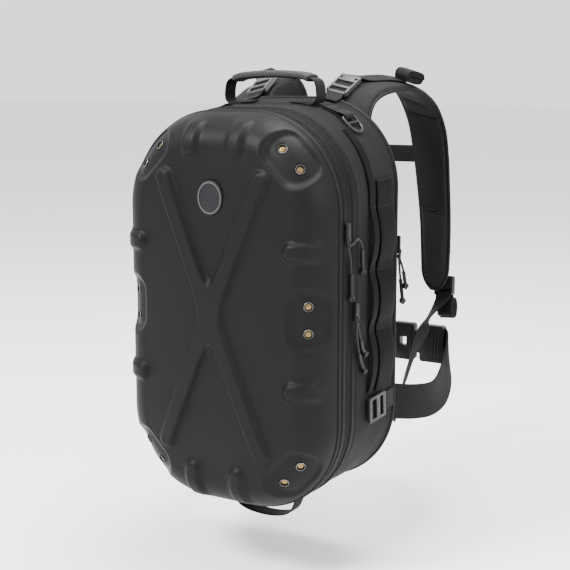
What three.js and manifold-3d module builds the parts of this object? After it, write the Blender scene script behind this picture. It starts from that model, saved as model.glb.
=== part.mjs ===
// Hard shell backpack, millimetres, +Z up.
// The moulded shell faces -Y, the wearer's back rests on the padded panel at +Y.
// The bag is modelled from the plane of the shell's rim (y = 0 there) and then
// moved as one group, so that the finished origin is the centre of the back panel.

import * as THREE from 'three';
import { mergeVertices } from 'three/addons/utils/BufferGeometryUtils.js';
import Module from 'manifold-3d';

const wasm = await Module();
wasm.setup();

// Outline of the bag at the shell's rim and at the back panel
const frontHalfWidth = 152.5;
const frontHalfHeight = 255;
const frontCorner = 122;
const backHalfWidth = frontHalfWidth + 3;
const backHalfHeight = frontHalfHeight + 6;
const backCorner = frontCorner - 6;
const backRise = 9;

// Depths from the rim to the wearer's back
const shellDepth = 54;
const shellEdge = 5.6;
const crown = 6;
const frontZipDepth = 18;
const rearZipDepth = 22;
const gussetDepth = 103;
const panelThickness = 11;
const panelCrown = 5;

// Walls, edges and clearances
const shellWall = 4.5;
const fabricWall = 2.4;
const pipingRadius = 2.7;
const coilProud = 1.8;
const coilHalfWidth = 3.4;
const gap = 0.3;

// Relief moulded in the shell
const shoulder = 46;
const ribHeight = 7;
const ribHalfWidth = 13.5;
const ribReachX = 72;
const ribReachZ = 171;
const ribCentreZ = 3;
const bumpHeight = 6.5;
const bumpHalfWidth = 15;
const recessDepth = 8.5;
const recessHalfWidth = 25;

// Webbing and straps
const webbingWidth = 25;
const webbingThickness = 1.8;
const ladderWidth = 42;
const ladderStripWidth = 14;
const ladderBow = 6.5;
const strapThickness = 12;
const strapReach = 185;
const strapHalfWidth = 30;
const strapSplay = 8;
const beltWidth = 50;
const beltThickness = 2.6;
const beltReach = 245;

// Hardware
const eyeletRadius = 6.5;
const eyeletBore = 4.3;
const eyeletHoleLength = 44;
const badgeHalfWidth = 19;
const badgeHalfHeight = 22;
const handleHalfSpan = 69;
const handleHeight = 41;
const gripThickness = 10;
const gripWidth = 30;
const loopDrop = 44;
const loopHalfSpan = 50;
const ringWire = 3.6;
const ringWidth = 22;
const ringLength = 30;
const glideHeight = 34;
const glideLength = 44;
const glideThickness = 4;
const lifterLength = 44;
const lifterWidth = 31;
const lifterThickness = 9;
const rollRadius = 10;
const lockLength = 28;
const lockWidth = 31;
const lockThickness = 8;
const sternumBuckleLength = 50;
const sternumBuckleThickness = 9;
const beltBuckleHeight = 58;
const beltBuckleThickness = 13;
const clipLength = 38;
const socketLength = 40;
const prongLength = 21;
const prongHeight = 34;
const prongThickness = 6.4;
const anchorThickness = 5;
const sliderLength = 24;
const sliderWidth = 9;
const sliderThickness = 5;
const cordRadius = 1.5;
const knotRadius = 3.2;

// Stations along Y that follow from the depths
const frontZipEnd = frontZipDepth;
const rearZipEnd = frontZipEnd + rearZipDepth;
const gussetEnd = rearZipEnd + gussetDepth;
const backPipingY = gussetEnd + gap + pipingRadius;
const panelFront = backPipingY + pipingRadius + gap;
const panelBack = panelFront + panelThickness;
const bowY = rearZipEnd + gussetDepth * 0.69;
const frontCoilY = frontZipEnd * 0.45;
const rearCoilY = frontZipEnd + rearZipDepth * 0.6;

const fabric = { color: 0x2f2f31, roughness: 0.85, metalness: 0 };
const moulded = { color: 0x333335, roughness: 0.7, metalness: 0 };
const webbing = { color: 0x262628, roughness: 0.8, metalness: 0 };
const plastic = { color: 0x3a3a3c, roughness: 0.45, metalness: 0 };
const steel = { color: 0x6c6c70, roughness: 0.35, metalness: 0.9 };
const brass = { color: 0xb08d57, roughness: 0.35, metalness: 0.9 };

const bag = new THREE.Group();

function addPiece(name, geometry, look) {
  const mesh = new THREE.Mesh(geometry, new THREE.MeshStandardMaterial(look));
  mesh.name = name;
  bag.add(mesh);
  return mesh;
}

// Geometry helpers

function signedVolume(points, index) {
  let total = 0;
  for (let i = 0; i < index.length; i += 3) {
    const [a, b, c] = [index[i], index[i + 1], index[i + 2]].map((k) => points[k]);
    total += a.dot(b.clone().cross(c)) / 6;
  }
  return total;
}

function closedGeometry(points, index) {
  const turned = signedVolume(points, index) < 0;
  const order = [];
  for (let i = 0; i < index.length; i += 3) {
    const [a, b, c] = index.slice(i, i + 3);
    order.push(a, turned ? c : b, turned ? b : c);
  }
  const geometry = new THREE.BufferGeometry();
  geometry.setAttribute('position', new THREE.Float32BufferAttribute(points.flatMap((p) => p.toArray()), 3));
  geometry.setIndex(order);
  return geometry;
}

function solidOf(geometry, matrix) {
  const bare = geometry.clone();
  bare.deleteAttribute('normal');
  bare.deleteAttribute('uv');
  if (matrix) bare.applyMatrix4(matrix);
  const merged = mergeVertices(bare.index ? bare : mergeVertices(bare), 1e-4);
  return new wasm.Manifold(new wasm.Mesh({
    numProp: 3,
    vertProperties: new Float32Array(merged.attributes.position.array),
    triVerts: new Uint32Array(merged.index.array),
  }));
}

function geometryOf(solid) {
  const mesh = solid.getMesh();
  const geometry = new THREE.BufferGeometry();
  geometry.setAttribute('position', new THREE.BufferAttribute(mesh.vertProperties, 3));
  geometry.setIndex(new THREE.BufferAttribute(mesh.triVerts, 1));
  return geometry;
}

// A skin over sections of equal point count, closed at both ends
function loft(sections) {
  const count = sections[0].length;
  const points = sections.flat();
  const index = [];
  for (let i = 0; i < sections.length - 1; i += 1) {
    for (let j = 0; j < count; j += 1) {
      const a = i * count + j;
      const b = i * count + ((j + 1) % count);
      index.push(a, b, b + count, a, b + count, a + count);
    }
  }
  const last = (sections.length - 1) * count;
  for (let j = 1; j < count - 1; j += 1) {
    index.push(0, j + 1, j, last, last + j, last + j + 1);
  }
  return closedGeometry(points, index);
}

// A skin over rings that closes on itself both ways, such as a band or a cord round the bag
function closedLoop(rings) {
  const count = rings[0].length;
  const points = rings.flat();
  const index = [];
  for (let i = 0; i < rings.length; i += 1) {
    const next = ((i + 1) % rings.length) * count;
    for (let j = 0; j < count; j += 1) {
      const k = (j + 1) % count;
      index.push(i * count + j, i * count + k, next + k, i * count + j, next + k, next + j);
    }
  }
  return closedGeometry(points, index);
}

// Outline of the bag

function outlineAt(y) {
  const share = y / gussetEnd;
  return {
    halfWidth: THREE.MathUtils.lerp(frontHalfWidth, backHalfWidth, share),
    halfHeight: THREE.MathUtils.lerp(frontHalfHeight, backHalfHeight, share),
    corner: THREE.MathUtils.lerp(frontCorner, backCorner, share),
    rise: backRise * share,
  };
}

function outline(y, out, steps = { corner: 6, top: 1, side: 2 }) {
  const { halfWidth, halfHeight, corner, rise } = outlineAt(y);
  const [cx, cz] = [halfWidth - corner, halfHeight - corner];
  const points = [];
  const quarters = [[1, 1, steps.top], [-1, 1, steps.side], [-1, -1, steps.top], [1, -1, steps.side]];
  quarters.forEach(([sx, sz, straight], quarter) => {
    for (let i = 0; i <= steps.corner; i += 1) {
      const angle = ((quarter + i / steps.corner) * Math.PI) / 2;
      const reach = corner + out;
      points.push(new THREE.Vector3(sx * cx + reach * Math.cos(angle), y, rise + sz * cz + reach * Math.sin(angle)));
    }
    const [nextX, nextZ] = quarter % 2 === 0 ? [-sx * cx, sz * cz] : [sx * cx, -sz * cz];
    const angle = ((quarter + 1) * Math.PI) / 2;
    const from = points[points.length - 1];
    const to = new THREE.Vector3(
      nextX + (corner + out) * Math.cos(angle), y, rise + nextZ + (corner + out) * Math.sin(angle));
    for (let i = 1; i < straight; i += 1) points.push(from.clone().lerp(to, i / straight));
  });
  return points;
}

// Place on the bag's side wall: run is the length along the outline from mid height, up positive
function onWall(y, run, out, side = 1) {
  const { halfWidth, halfHeight, corner, rise } = outlineAt(y);
  const straight = halfHeight - corner;
  const sign = Math.sign(run) || 1;
  const length = Math.abs(run);
  let x = halfWidth + out;
  let z = length;
  let normal = new THREE.Vector3(1, 0, 0);
  if (length > straight) {
    const angle = Math.min((length - straight) / corner, Math.PI / 2);
    const past = Math.max(length - straight - (corner * Math.PI) / 2, 0);
    normal = new THREE.Vector3(Math.cos(angle), 0, Math.sin(angle));
    x = halfWidth - corner + (corner + out) * Math.cos(angle) - past;
    z = straight + (corner + out) * Math.sin(angle);
  }
  normal.set(normal.x * side, 0, normal.z * sign);
  return { point: new THREE.Vector3(x * side, y, rise + z * sign), normal };
}

// Direction along the wall towards the wearer
function wallAhead(y, run, side = 1) {
  return onWall(y + 1, run, 0, side).point.sub(onWall(y - 1, run, 0, side).point).normalize();
}

// Run along the outline of a wall point with the given x on the top
function runAtTop(y, x) {
  const { halfWidth, halfHeight, corner } = outlineAt(y);
  const inner = halfWidth - corner;
  const straight = halfHeight - corner;
  if (x < inner) return straight + (corner * Math.PI) / 2 + inner - x;
  return straight + corner * Math.acos((x - inner) / corner);
}

function bagEnvelope(out) {
  const sections = [-shellEdge, panelBack + out].map((y) => outline(y, out));
  return solidOf(loft(sections));
}

const keepOut = bagEnvelope(pipingRadius * 0.9 + gap);

// Bands of the body

function bandRing(profile) {
  return closedLoop(profile.map(({ y, out }) => outline(y, out)));
}

function zipBand(start, end, coilAt) {
  return bandRing([
    { y: start, out: 0 },
    { y: coilAt - coilHalfWidth, out: 0 },
    { y: coilAt - coilHalfWidth * 0.5, out: coilProud },
    { y: coilAt + coilHalfWidth * 0.5, out: coilProud },
    { y: coilAt + coilHalfWidth, out: 0 },
    { y: end, out: 0 },
    { y: end, out: -fabricWall },
    { y: start, out: -fabricWall },
  ]);
}

function pipingRing(y, radius) {
  const sides = 6;
  const profile = [];
  for (let i = 0; i < sides; i += 1) {
    const angle = (i * 2 * Math.PI) / sides;
    profile.push({ y: y + radius * Math.cos(angle), out: radius * Math.sin(angle) - radius * 0.1 });
  }
  return bandRing(profile);
}

function addBody() {
  addPiece('shell_piping', pipingRing(-pipingRadius - gap, pipingRadius), fabric);
  addPiece('front_zip_band', zipBand(0, frontZipEnd, frontCoilY), fabric);
  addPiece('rear_zip_band', zipBand(frontZipEnd + gap, rearZipEnd, rearCoilY), fabric);
  addPiece('gusset', bandRing([
    { y: rearZipEnd + gap, out: 0 },
    { y: gussetEnd, out: 0 },
    { y: gussetEnd, out: -fabricWall },
    { y: rearZipEnd + gap, out: -fabricWall },
  ]), fabric);
  addPiece('back_piping', pipingRing(backPipingY, pipingRadius), fabric);
}

// The back panel is a pad with a slightly crowned face round a flat centre
function panelSolid(out) {
  const centre = outlineAt(gussetEnd).rise;
  const flat = 0.3;
  const shrink = (ring, share, y) => ring.map((p) => new THREE.Vector3(
    p.x * share, y, centre + (p.z - centre) * share));
  const rim = outline(panelFront, out - pipingRadius * 0.6);
  return solidOf(loft([
    shrink(rim, flat, panelFront - out),
    shrink(rim, 1, panelFront - out),
    shrink(rim, 1, panelBack - panelCrown + out),
    shrink(rim, 0.95, panelBack - panelCrown * 0.4 + out),
    shrink(rim, 0.85, panelBack + out),
    shrink(rim, flat, panelBack + out),
  ]));
}

// Moulded shell

function smooth(low, high, value) {
  return THREE.MathUtils.smoothstep(value, low, high);
}

function segmentDistance(x, z, from, to) {
  const [dx, dz] = [to.x - from.x, to.z - from.z];
  const along = THREE.MathUtils.clamp(((x - from.x) * dx + (z - from.z) * dz) / (dx * dx + dz * dz), 0, 1);
  return Math.hypot(x - from.x - along * dx, z - from.z - along * dz);
}

function inset(x, z) {
  const qx = Math.abs(x) - (frontHalfWidth - frontCorner);
  const qz = Math.abs(z) - (frontHalfHeight - frontCorner);
  return frontCorner - Math.hypot(Math.max(qx, 0), Math.max(qz, 0)) - Math.min(Math.max(qx, qz), 0);
}

// Bumps and eyelet recesses as shares of the half width and half height, mirrored left to right
const bumps = [
  { x0: 0.22, z0: 0.83, x1: 0.22, z1: 0.96 },
  { x0: 0.75, z0: 0.35, x1: 0.95, z1: 0.35 },
  { x0: 0.75, z0: -0.325, x1: 0.95, z1: -0.325 },
  { x0: 0.22, z0: -0.8, x1: 0.22, z1: -0.94 },
];
const eyeletPairs = [
  { x0: 0.6, z0: 0.832, x1: 0.758, z1: 0.738 },
  { x0: 0.845, z0: 0.088, x1: 0.845, z1: -0.045 },
  { x0: 0.773, z0: -0.71, x1: 0.625, z1: -0.805 },
];

function ends(row) {
  return [
    { x: row.x0 * frontHalfWidth, z: row.z0 * frontHalfHeight },
    { x: row.x1 * frontHalfWidth, z: row.z1 * frontHalfHeight },
  ];
}

function ribShare(x, z) {
  const across = Math.abs(x);
  const up = Math.abs(z - ribCentreZ);
  const distance = segmentDistance(across, up, { x: 0, z: 0 }, { x: ribReachX, z: ribReachZ });
  return 1 - smooth(ribHalfWidth * 0.45, ribHalfWidth, distance);
}

function relief(x, z) {
  const across = Math.abs(x);
  const fromRim = inset(x, z);
  const edgeFade = smooth(3, 15, fromRim);
  let height = ribHeight * ribShare(x, z);
  bumps.forEach((row) => {
    const distance = segmentDistance(across, z, ...ends(row));
    height = Math.max(height, bumpHeight * edgeFade * (1 - smooth(bumpHalfWidth * 0.35, bumpHalfWidth, distance)));
  });
  eyeletPairs.forEach((row) => {
    const distance = segmentDistance(across, z, ...ends(row));
    height -= recessDepth * edgeFade * (1 - smooth(recessHalfWidth * 0.5, recessHalfWidth, distance));
  });
  return height;
}

function domeDepth(x, z) {
  const fromRim = Math.max(inset(x, z), 0);
  const share = Math.min(fromRim / shoulder, 1);
  const middle = THREE.MathUtils.clamp((fromRim - shoulder) / (frontHalfWidth - shoulder), 0, 1);
  return (shellDepth - crown) * (1 - (1 - share) ** 2.2) ** 0.74 + crown * (1 - (1 - middle) ** 2);
}

function shellY(x, z) {
  return -shellEdge - gap - domeDepth(x, z) - relief(x, z);
}

// Rays from the shell's middle over one quarter, degrees from the side, closer at the ribs and bumps
const shellRays = [0, 11, 22, 29, 36, 44, 52, 59, 63, 67, 72, 77, 83, 90];

function rimOnRay(degrees, inward) {
  const radius = frontCorner - inward;
  const middle = new THREE.Vector2(frontHalfWidth - frontCorner, frontHalfHeight - frontCorner);
  const angle = THREE.MathUtils.degToRad(degrees);
  const ray = new THREE.Vector2(Math.cos(angle), Math.sin(angle));
  const along = ray.dot(middle);
  const reach = along + Math.sqrt(Math.max(along ** 2 - middle.lengthSq() + radius ** 2, 0));
  const hit = ray.clone().multiplyScalar(reach);
  if (hit.y < middle.y) return ray.multiplyScalar((middle.x + radius) / ray.x);
  if (hit.x < middle.x) return ray.multiplyScalar((middle.y + radius) / ray.y);
  return hit;
}

function shellRim(inward) {
  const quarter = shellRays.map((degrees) => rimOnRay(degrees, inward));
  const back = quarter.slice(0, -1).reverse();
  const flip = (list, x, z) => list.map((p) => new THREE.Vector2(p.x * x, p.y * z));
  return [...quarter, ...flip(back, -1, 1), ...flip(quarter.slice(1), -1, -1), ...flip(back.slice(0, -1), 1, -1)];
}

function shellGrid() {
  const rim = shellRim(0);
  const inner = shellRim(shellWall);
  const outerShares = [1, 0.98, 0.95, 0.905, 0.85, 0.78, 0.7, 0.6, 0.49, 0.36, 0.2];
  const innerShares = [1, 0.93, 0.85, 0.76, 0.64, 0.4];
  const outside = outerShares.map((share) => rim.map((p) => new THREE.Vector3(
    p.x * share, shellY(p.x * share, p.y * share), p.y * share)));
  const inside = innerShares.map((share) => inner.map((p) => {
    const [x, z] = [p.x * share, p.y * share];
    const deep = domeDepth(x, z) + Math.min(relief(x, z), 0) - shellWall * 1.5;
    return new THREE.Vector3(x, -shellEdge - gap - (share < 1 ? Math.max(deep, 0) : 0), z);
  }));
  const rings = [...inside.reverse(), ...outside];
  const count = rim.length;
  const points = rings.flat();
  const index = [];
  for (let i = 0; i < rings.length - 1; i += 1) {
    for (let j = 0; j < count; j += 1) {
      const k = (j + 1) % count;
      index.push(i * count + j, i * count + k, (i + 1) * count + k);
      index.push(i * count + j, (i + 1) * count + k, (i + 1) * count + j);
    }
  }
  const first = points.length;
  points.push(new THREE.Vector3(0, inside[0][0].y, 0));
  points.push(new THREE.Vector3(0, shellY(0, 0), 0));
  const last = (rings.length - 1) * count;
  for (let j = 0; j < count; j += 1) {
    const k = (j + 1) % count;
    index.push(first, k, j, first + 1, last + j, last + k);
  }
  return closedGeometry(points, index);
}

function shellNormal(x, z) {
  const step = 4;
  const slopeX = (shellY(x + step, z) - shellY(x - step, z)) / (2 * step);
  const slopeZ = (shellY(x, z + step) - shellY(x, z - step)) / (2 * step);
  return new THREE.Vector3(slopeX, -1, slopeZ).normalize();
}

function seat(point, normal) {
  const turn = new THREE.Quaternion().setFromUnitVectors(new THREE.Vector3(0, 1, 0), normal);
  return new THREE.Matrix4().compose(point, turn, new THREE.Vector3(1, 1, 1));
}

// An eyelet is a cup with a rolled rim, set in a hole of the shell
function eyeletGeometry() {
  const profile = [
    new THREE.Vector2(0, -4),
    new THREE.Vector2(eyeletRadius, -4),
    new THREE.Vector2(eyeletRadius, 0.9),
    new THREE.Vector2(eyeletBore, 0.9),
    new THREE.Vector2(eyeletBore, -2),
    new THREE.Vector2(0, -2),
  ];
  return new THREE.LatheGeometry(profile, 8);
}

function addShell() {
  let shell = solidOf(shellGrid());
  const eyelet = eyeletGeometry();
  const hole = new THREE.CylinderGeometry(eyeletRadius + gap, eyeletRadius + gap, eyeletHoleLength, 8);
  const level = ['upper', 'middle', 'lower'];
  eyeletPairs.forEach((row, i) => {
    ends(row).forEach((place, j) => {
      [1, -1].forEach((side) => {
        const x = place.x * side;
        const matrix = seat(new THREE.Vector3(x, shellY(x, place.z), place.z), shellNormal(x, place.z));
        shell = shell.subtract(solidOf(hole, matrix));
        const name = `eyelet_${level[i]}_${side > 0 ? 'right' : 'left'}_${j + 1}`;
        addPiece(name, geometryOf(solidOf(eyelet, matrix)), brass);
      });
    });
  });
  const badgeZ = frontHalfHeight * 0.59;
  const badgeY = shellY(0, badgeZ);
  const disc = (grow, depth, y) => solidOf(
    new THREE.CylinderGeometry(1, 1, depth, 20).scale(badgeHalfWidth + grow, 1, badgeHalfHeight + grow),
    seat(new THREE.Vector3(0, y, badgeZ), new THREE.Vector3(0, -1, 0)));
  shell = shell.subtract(disc(gap, 5, badgeY - 1));
  addPiece('badge', geometryOf(disc(0, 3.2, badgeY - 0.4)), plastic);
  addPiece('front_shell', geometryOf(shell), moulded);
}

// Straps and webbing

function vector(x, y, z) {
  return new THREE.Vector3(x, y, z);
}

// A strap follows rows of {point, half}, where half is the vector from its middle to one edge
function rowCurves(rows) {
  return {
    middle: new THREE.CatmullRomCurve3(rows.map((row) => row.point), false, 'centripetal'),
    edge: new THREE.CatmullRomCurve3(rows.map((row) => row.half), false, 'catmullrom', 0.5),
  };
}

function rowAt({ middle, edge }, share) {
  return { point: middle.getPoint(share), half: edge.getPoint(share), tangent: middle.getTangent(share) };
}

// A flat strap with square edges, or a padded one with rounded edges
function ribbon(rows, count, thickness, padded = false) {
  const profile = padded
    ? [[-1, -0.35], [-0.86, -1], [0.86, -1], [1, -0.35], [1, 0.35], [0.86, 1], [-0.86, 1], [-1, 0.35]]
    : [[-1, -1], [1, -1], [1, 1], [-1, 1]];
  const curves = rowCurves(rows);
  const sections = [];
  for (let i = 0; i <= count; i += 1) {
    const { point, half, tangent } = rowAt(curves, i / count);
    const normal = tangent.cross(half).normalize().multiplyScalar(thickness / 2);
    sections.push(profile.map(([across, out]) => (
      point.clone().addScaledVector(half, across).addScaledVector(normal, out))));
  }
  return loft(sections);
}

function widened(rows, extra) {
  return rows.map(({ point, half }) => ({ point, half: half.clone().setLength(half.length() + extra) }));
}

// The way that a strap needs through a buckle, with a clearance all round
function passage(rows, count, thickness) {
  return solidOf(ribbon(widened(rows, gap), count, thickness + 2 * gap));
}

const sides = [{ word: 'right', side: 1 }, { word: 'left', side: -1 }];

// Ladder of webbing sewn down the side: it bows out between its bar tacks.
// Places are shares of the front half height.
const tacks = [0.66, 0.53, 0.215, -0.09, -0.415];

function ladderRows(y, width, side, heights) {
  const rows = [];
  const place = (run, out) => {
    const near = onWall(y - width / 2, run, out, side).point;
    const far = onWall(y + width / 2, run, out, side).point;
    rows.push({ point: near.clone().lerp(far, 0.5), half: far.clone().sub(near).multiplyScalar(0.5) });
  };
  const flat = gap + webbingThickness / 2 + 0.3;
  const { rise } = outlineAt(y);
  heights.forEach((share, i) => {
    const run = share * frontHalfHeight - rise;
    if (i > 0) {
      const before = heights[i - 1] * frontHalfHeight - rise;
      const bow = i > 1 ? ladderBow : 0;
      [0.25, 0.5, 0.75].forEach((t) => {
        place(THREE.MathUtils.lerp(before, run, t), flat + bow * Math.sin(Math.PI * t));
      });
    }
    place(run, flat);
  });
  return rows;
}

function addLadders() {
  const stripY = bowY - (ladderWidth + ladderStripWidth) / 2 - 6;
  sides.forEach(({ word, side }) => {
    const wide = ladderRows(bowY, ladderWidth, side, tacks);
    addPiece(`side_webbing_${word}`, ribbon(wide, 18, webbingThickness), webbing);
    const strip = ladderRows(stripY, ladderStripWidth, side, [0.95, ...tacks.slice(1)]);
    addPiece(`side_strip_${word}`, ribbon(strip, 20, webbingThickness), webbing);
  });
}

// Flat hardware cut from rounded plates
function roundedShape(halfX, halfY, radius) {
  const shape = new THREE.Shape();
  shape.moveTo(halfX, -halfY + radius);
  shape.absarc(halfX - radius, halfY - radius, radius, 0, Math.PI / 2);
  shape.absarc(-halfX + radius, halfY - radius, radius, Math.PI / 2, Math.PI);
  shape.absarc(-halfX + radius, -halfY + radius, radius, Math.PI, Math.PI * 1.5);
  shape.absarc(halfX - radius, -halfY + radius, radius, Math.PI * 1.5, Math.PI * 2);
  return shape;
}

function plate(shape, thickness) {
  const geometry = new THREE.ExtrudeGeometry(shape, { depth: thickness, bevelEnabled: false, curveSegments: 3 });
  return geometry.translate(0, 0, -thickness / 2);
}

// A solid turned so that its x and y run along two given directions
function placed(geometry, origin, xAxis, yAxis) {
  const x = xAxis.clone().normalize();
  const z = x.clone().cross(yAxis).normalize();
  const y = z.clone().cross(x);
  return solidOf(geometry, new THREE.Matrix4().makeBasis(x, y, z).setPosition(origin));
}

// Slide buckle with two slots, on a tab of webbing that comes out of the back seam
function addGlides() {
  const run = -0.525 * frontHalfHeight;
  const middle = rearZipEnd + gussetDepth * 0.485;
  const out = gap + webbingThickness + gap + glideThickness / 2;
  const slots = [{ at: -0.2, length: 0.28 }, { at: 0.25, length: 0.2 }];
  sides.forEach(({ word, side }) => {
    const rows = [middle - glideLength * 0.4, gussetEnd - 1].map((y) => ({
      point: onWall(y, run, gap + webbingThickness / 2, side).point,
      half: vector(0, 0, webbingWidth / 2),
    }));
    addPiece(`glide_tab_${word}`, ribbon(rows, 2, webbingThickness), webbing);
    const origin = onWall(middle, run, out, side).point;
    const ahead = wallAhead(middle, run, side);
    const up = vector(0, 0, 1);
    let buckle = placed(plate(roundedShape(glideLength / 2, glideHeight / 2, 3), glideThickness), origin, ahead, up);
    slots.forEach(({ at, length }) => {
      const slot = new THREE.BoxGeometry(glideLength * length, webbingWidth + 1, glideThickness * 2);
      buckle = buckle.subtract(placed(slot.translate(glideLength * at, 0, 0), origin, ahead, up));
    });
    addPiece(`slide_buckle_${word}`, geometryOf(buckle), plastic);
  });
}

// D-ring held by its straight bar in a hairpin of webbing
const ringY = rearZipEnd + gussetDepth * 0.58;
const ringBarRadius = ringWire / 2;
const hairpinRadius = ringBarRadius + 0.6 + webbingThickness / 2;
const ringBarOut = gap + webbingThickness / 2 + hairpinRadius;
const ringAngle = 55;

function ringPlace(side) {
  const { halfHeight, corner } = outlineAt(ringY);
  const run = halfHeight - corner + corner * THREE.MathUtils.degToRad(ringAngle);
  const bar = onWall(ringY, run, ringBarOut, side);
  const tip = onWall(ringY, run - ringLength, ringBarRadius + 0.9, side);
  const along = tip.point.sub(bar.point).normalize();
  return { run, bar: bar.point, normal: bar.normal, along, ahead: wallAhead(ringY, run, side) };
}

function ringSolid({ bar, along, ahead }) {
  const outer = ringWidth / 2 + ringWire;
  const inner = ringWidth / 2;
  const bow = ringLength - ringBarRadius - outer;
  const shape = new THREE.Shape();
  shape.moveTo(0, -outer);
  shape.lineTo(bow, -outer);
  shape.absarc(bow, 0, outer, -Math.PI / 2, Math.PI / 2);
  shape.lineTo(0, outer);
  shape.lineTo(0, inner);
  shape.lineTo(bow, inner);
  shape.absarc(bow, 0, inner, Math.PI / 2, -Math.PI / 2, true);
  shape.lineTo(0, -inner);
  shape.closePath();
  const wire = new THREE.ExtrudeGeometry(shape, { depth: ringWire, bevelEnabled: false, curveSegments: 5 });
  wire.translate(0, 0, -ringWire / 2);
  const rod = new THREE.CylinderGeometry(ringBarRadius, ringBarRadius, 2 * outer, 8);
  const cross = rod.clone().scale(0.8, 0.95, 0.8).translate(ringLength * 0.36, 0, 0);
  const [frame, hinge, brace] = [wire, rod, cross].map((piece) => placed(piece, bar, along, ahead));
  return frame.add(hinge).add(brace);
}

function hairpinRows(side) {
  const { run, bar, normal, along, ahead } = ringPlace(side);
  const half = ahead.multiplyScalar(ringWidth / 2 - 1);
  const low = gap + webbingThickness / 2;
  const high = low + webbingThickness + gap;
  const onSkin = ([back, out]) => onWall(ringY, run + back, out, side).point;
  const rows = [[34, low], [22, low], [9, low]].map(onSkin);
  for (let i = 0; i <= 4; i += 1) {
    const angle = -Math.PI / 2 + (i * Math.PI) / 4;
    rows.push(bar.clone().addScaledVector(normal, hairpinRadius * Math.sin(angle))
      .addScaledVector(along, hairpinRadius * Math.cos(angle)));
  }
  rows.push(...[[12, high + 1.6], [24, high + 0.2], [34, high]].map(onSkin));
  return rows.map((point) => ({ point, half }));
}

function addRings() {
  sides.forEach(({ word, side }) => {
    addPiece(`d_ring_${word}`, geometryOf(ringSolid(ringPlace(side))), steel);
    addPiece(`d_ring_loop_${word}`, ribbon(hairpinRows(side), 20, webbingThickness), webbing);
  });
}

// Carrying handle on the top and the haul loop at the bottom
const handleY = rearZipEnd + gussetDepth * 0.53;

function handleRows() {
  const top = onWall(handleY, runAtTop(handleY, handleHalfSpan), 0).point.z;
  const lie = (x, out) => {
    const run = runAtTop(handleY, x);
    return { point: onWall(handleY, run, out).point, half: wallAhead(handleY, run).setLength(webbingWidth / 2) };
  };
  const free = (x, rise) => ({ point: vector(x, handleY, top + rise), half: vector(0, webbingWidth / 2, 0) });
  const rightSide = [
    lie(handleHalfSpan * 0.45, gap + 1.3),
    lie(handleHalfSpan * 0.68, gap + 1.3),
    lie(handleHalfSpan * 0.9, gap + 1.6),
    free(handleHalfSpan, handleHeight * 0.18),
    free(handleHalfSpan + 1, handleHeight * 0.5),
    free(handleHalfSpan - 3, handleHeight * 0.8),
    free(handleHalfSpan * 0.72, handleHeight * 0.94),
    free(handleHalfSpan * 0.36, handleHeight),
  ];
  const mirrored = ({ point, half }) => (
    { point: vector(-point.x, point.y, point.z), half: vector(-half.x, half.y, half.z) });
  return [...rightSide, free(0, handleHeight * 1.02), ...rightSide.map(mirrored).reverse()];
}

function addHandle() {
  const rows = handleRows();
  addPiece('handle_webbing', ribbon(rows, 28, webbingThickness), webbing);
  const halfGrip = vector(0, gripWidth / 2, 0);
  const arch = rows.slice(6, rows.length - 6).map((row) => row.point);
  const start = arch[0].clone().lerp(rows[5].point, 0.5);
  const finish = vector(-start.x, start.y, start.z);
  const gripRows = [start, ...arch, finish].map((point) => ({ point, half: halfGrip }));
  const grip = solidOf(ribbon(gripRows, 14, gripThickness, true));
  addPiece('handle_grip', geometryOf(grip.subtract(passage(rows, 28, webbingThickness))), plastic);
}

function addBottomLoop() {
  const y = rearZipEnd + gussetDepth * 0.34;
  const half = vector(0, webbingWidth / 2, 0);
  const base = onWall(y, -runAtTop(y, loopHalfSpan), 0).point;
  const rightSide = [
    vector(loopHalfSpan, y, base.z + 4),
    vector(loopHalfSpan, y, base.z - loopDrop * 0.4),
    vector(loopHalfSpan * 0.78, y, base.z - loopDrop * 0.82),
  ];
  const leftSide = rightSide.map((p) => vector(-p.x, p.y, p.z)).reverse();
  const rows = [...rightSide, vector(0, y, base.z - loopDrop), ...leftSide].map((point) => ({ point, half }));
  const loop = solidOf(ribbon(rows, 18, webbingThickness)).subtract(bagEnvelope(gap));
  addPiece('bottom_loop', geometryOf(loop), webbing);
}

// Padded shoulder straps. Columns: across as a share of the front half width, back as a share of
// strapReach behind the panel, up as a share of the front half height, and the strap's half width
// with its sweep towards the bag and its droop at the outer edge as shares of strapHalfWidth.
const strapRows = [
  { across: 0.495, back: -0.036, up: 0.925, wide: 1.2, sweep: 0, droop: 0.36 },
  { across: 0.5, back: -0.012, up: 0.996, wide: 1.1, sweep: 0, droop: 0.27 },
  { across: 0.505, back: 0.058, up: 1.055, wide: 1.04, sweep: 0, droop: 0.23 },
  { across: 0.52, back: 0.18, up: 1.098, wide: 1, sweep: 0, droop: 0.23 },
  { across: 0.564, back: 0.375, up: 1.13, wide: 1, sweep: 0, droop: 0.27 },
  { across: 0.63, back: 0.59, up: 1.133, wide: 1, sweep: 0, droop: 0.3 },
  { across: 0.695, back: 0.785, up: 1.06, wide: 1, sweep: 0.03, droop: 0.27 },
  { across: 0.741, back: 0.915, up: 0.918, wide: 1, sweep: 0.13, droop: 0.2 },
  { across: 0.761, back: 0.98, up: 0.745, wide: 0.97, sweep: 0.2, droop: 0.13 },
  { across: 0.787, back: 0.997, up: 0.549, wide: 0.9, sweep: 0.23, droop: 0.07 },
  { across: 0.82, back: 0.986, up: 0.353, wide: 0.82, sweep: 0.2, droop: 0 },
  { across: 0.846, back: 0.953, up: 0.176, wide: 0.76, sweep: 0.17, droop: 0 },
  { across: 0.872, back: 0.905, up: -0.035, wide: 0.67, sweep: 0.17, droop: 0 },
];

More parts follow.
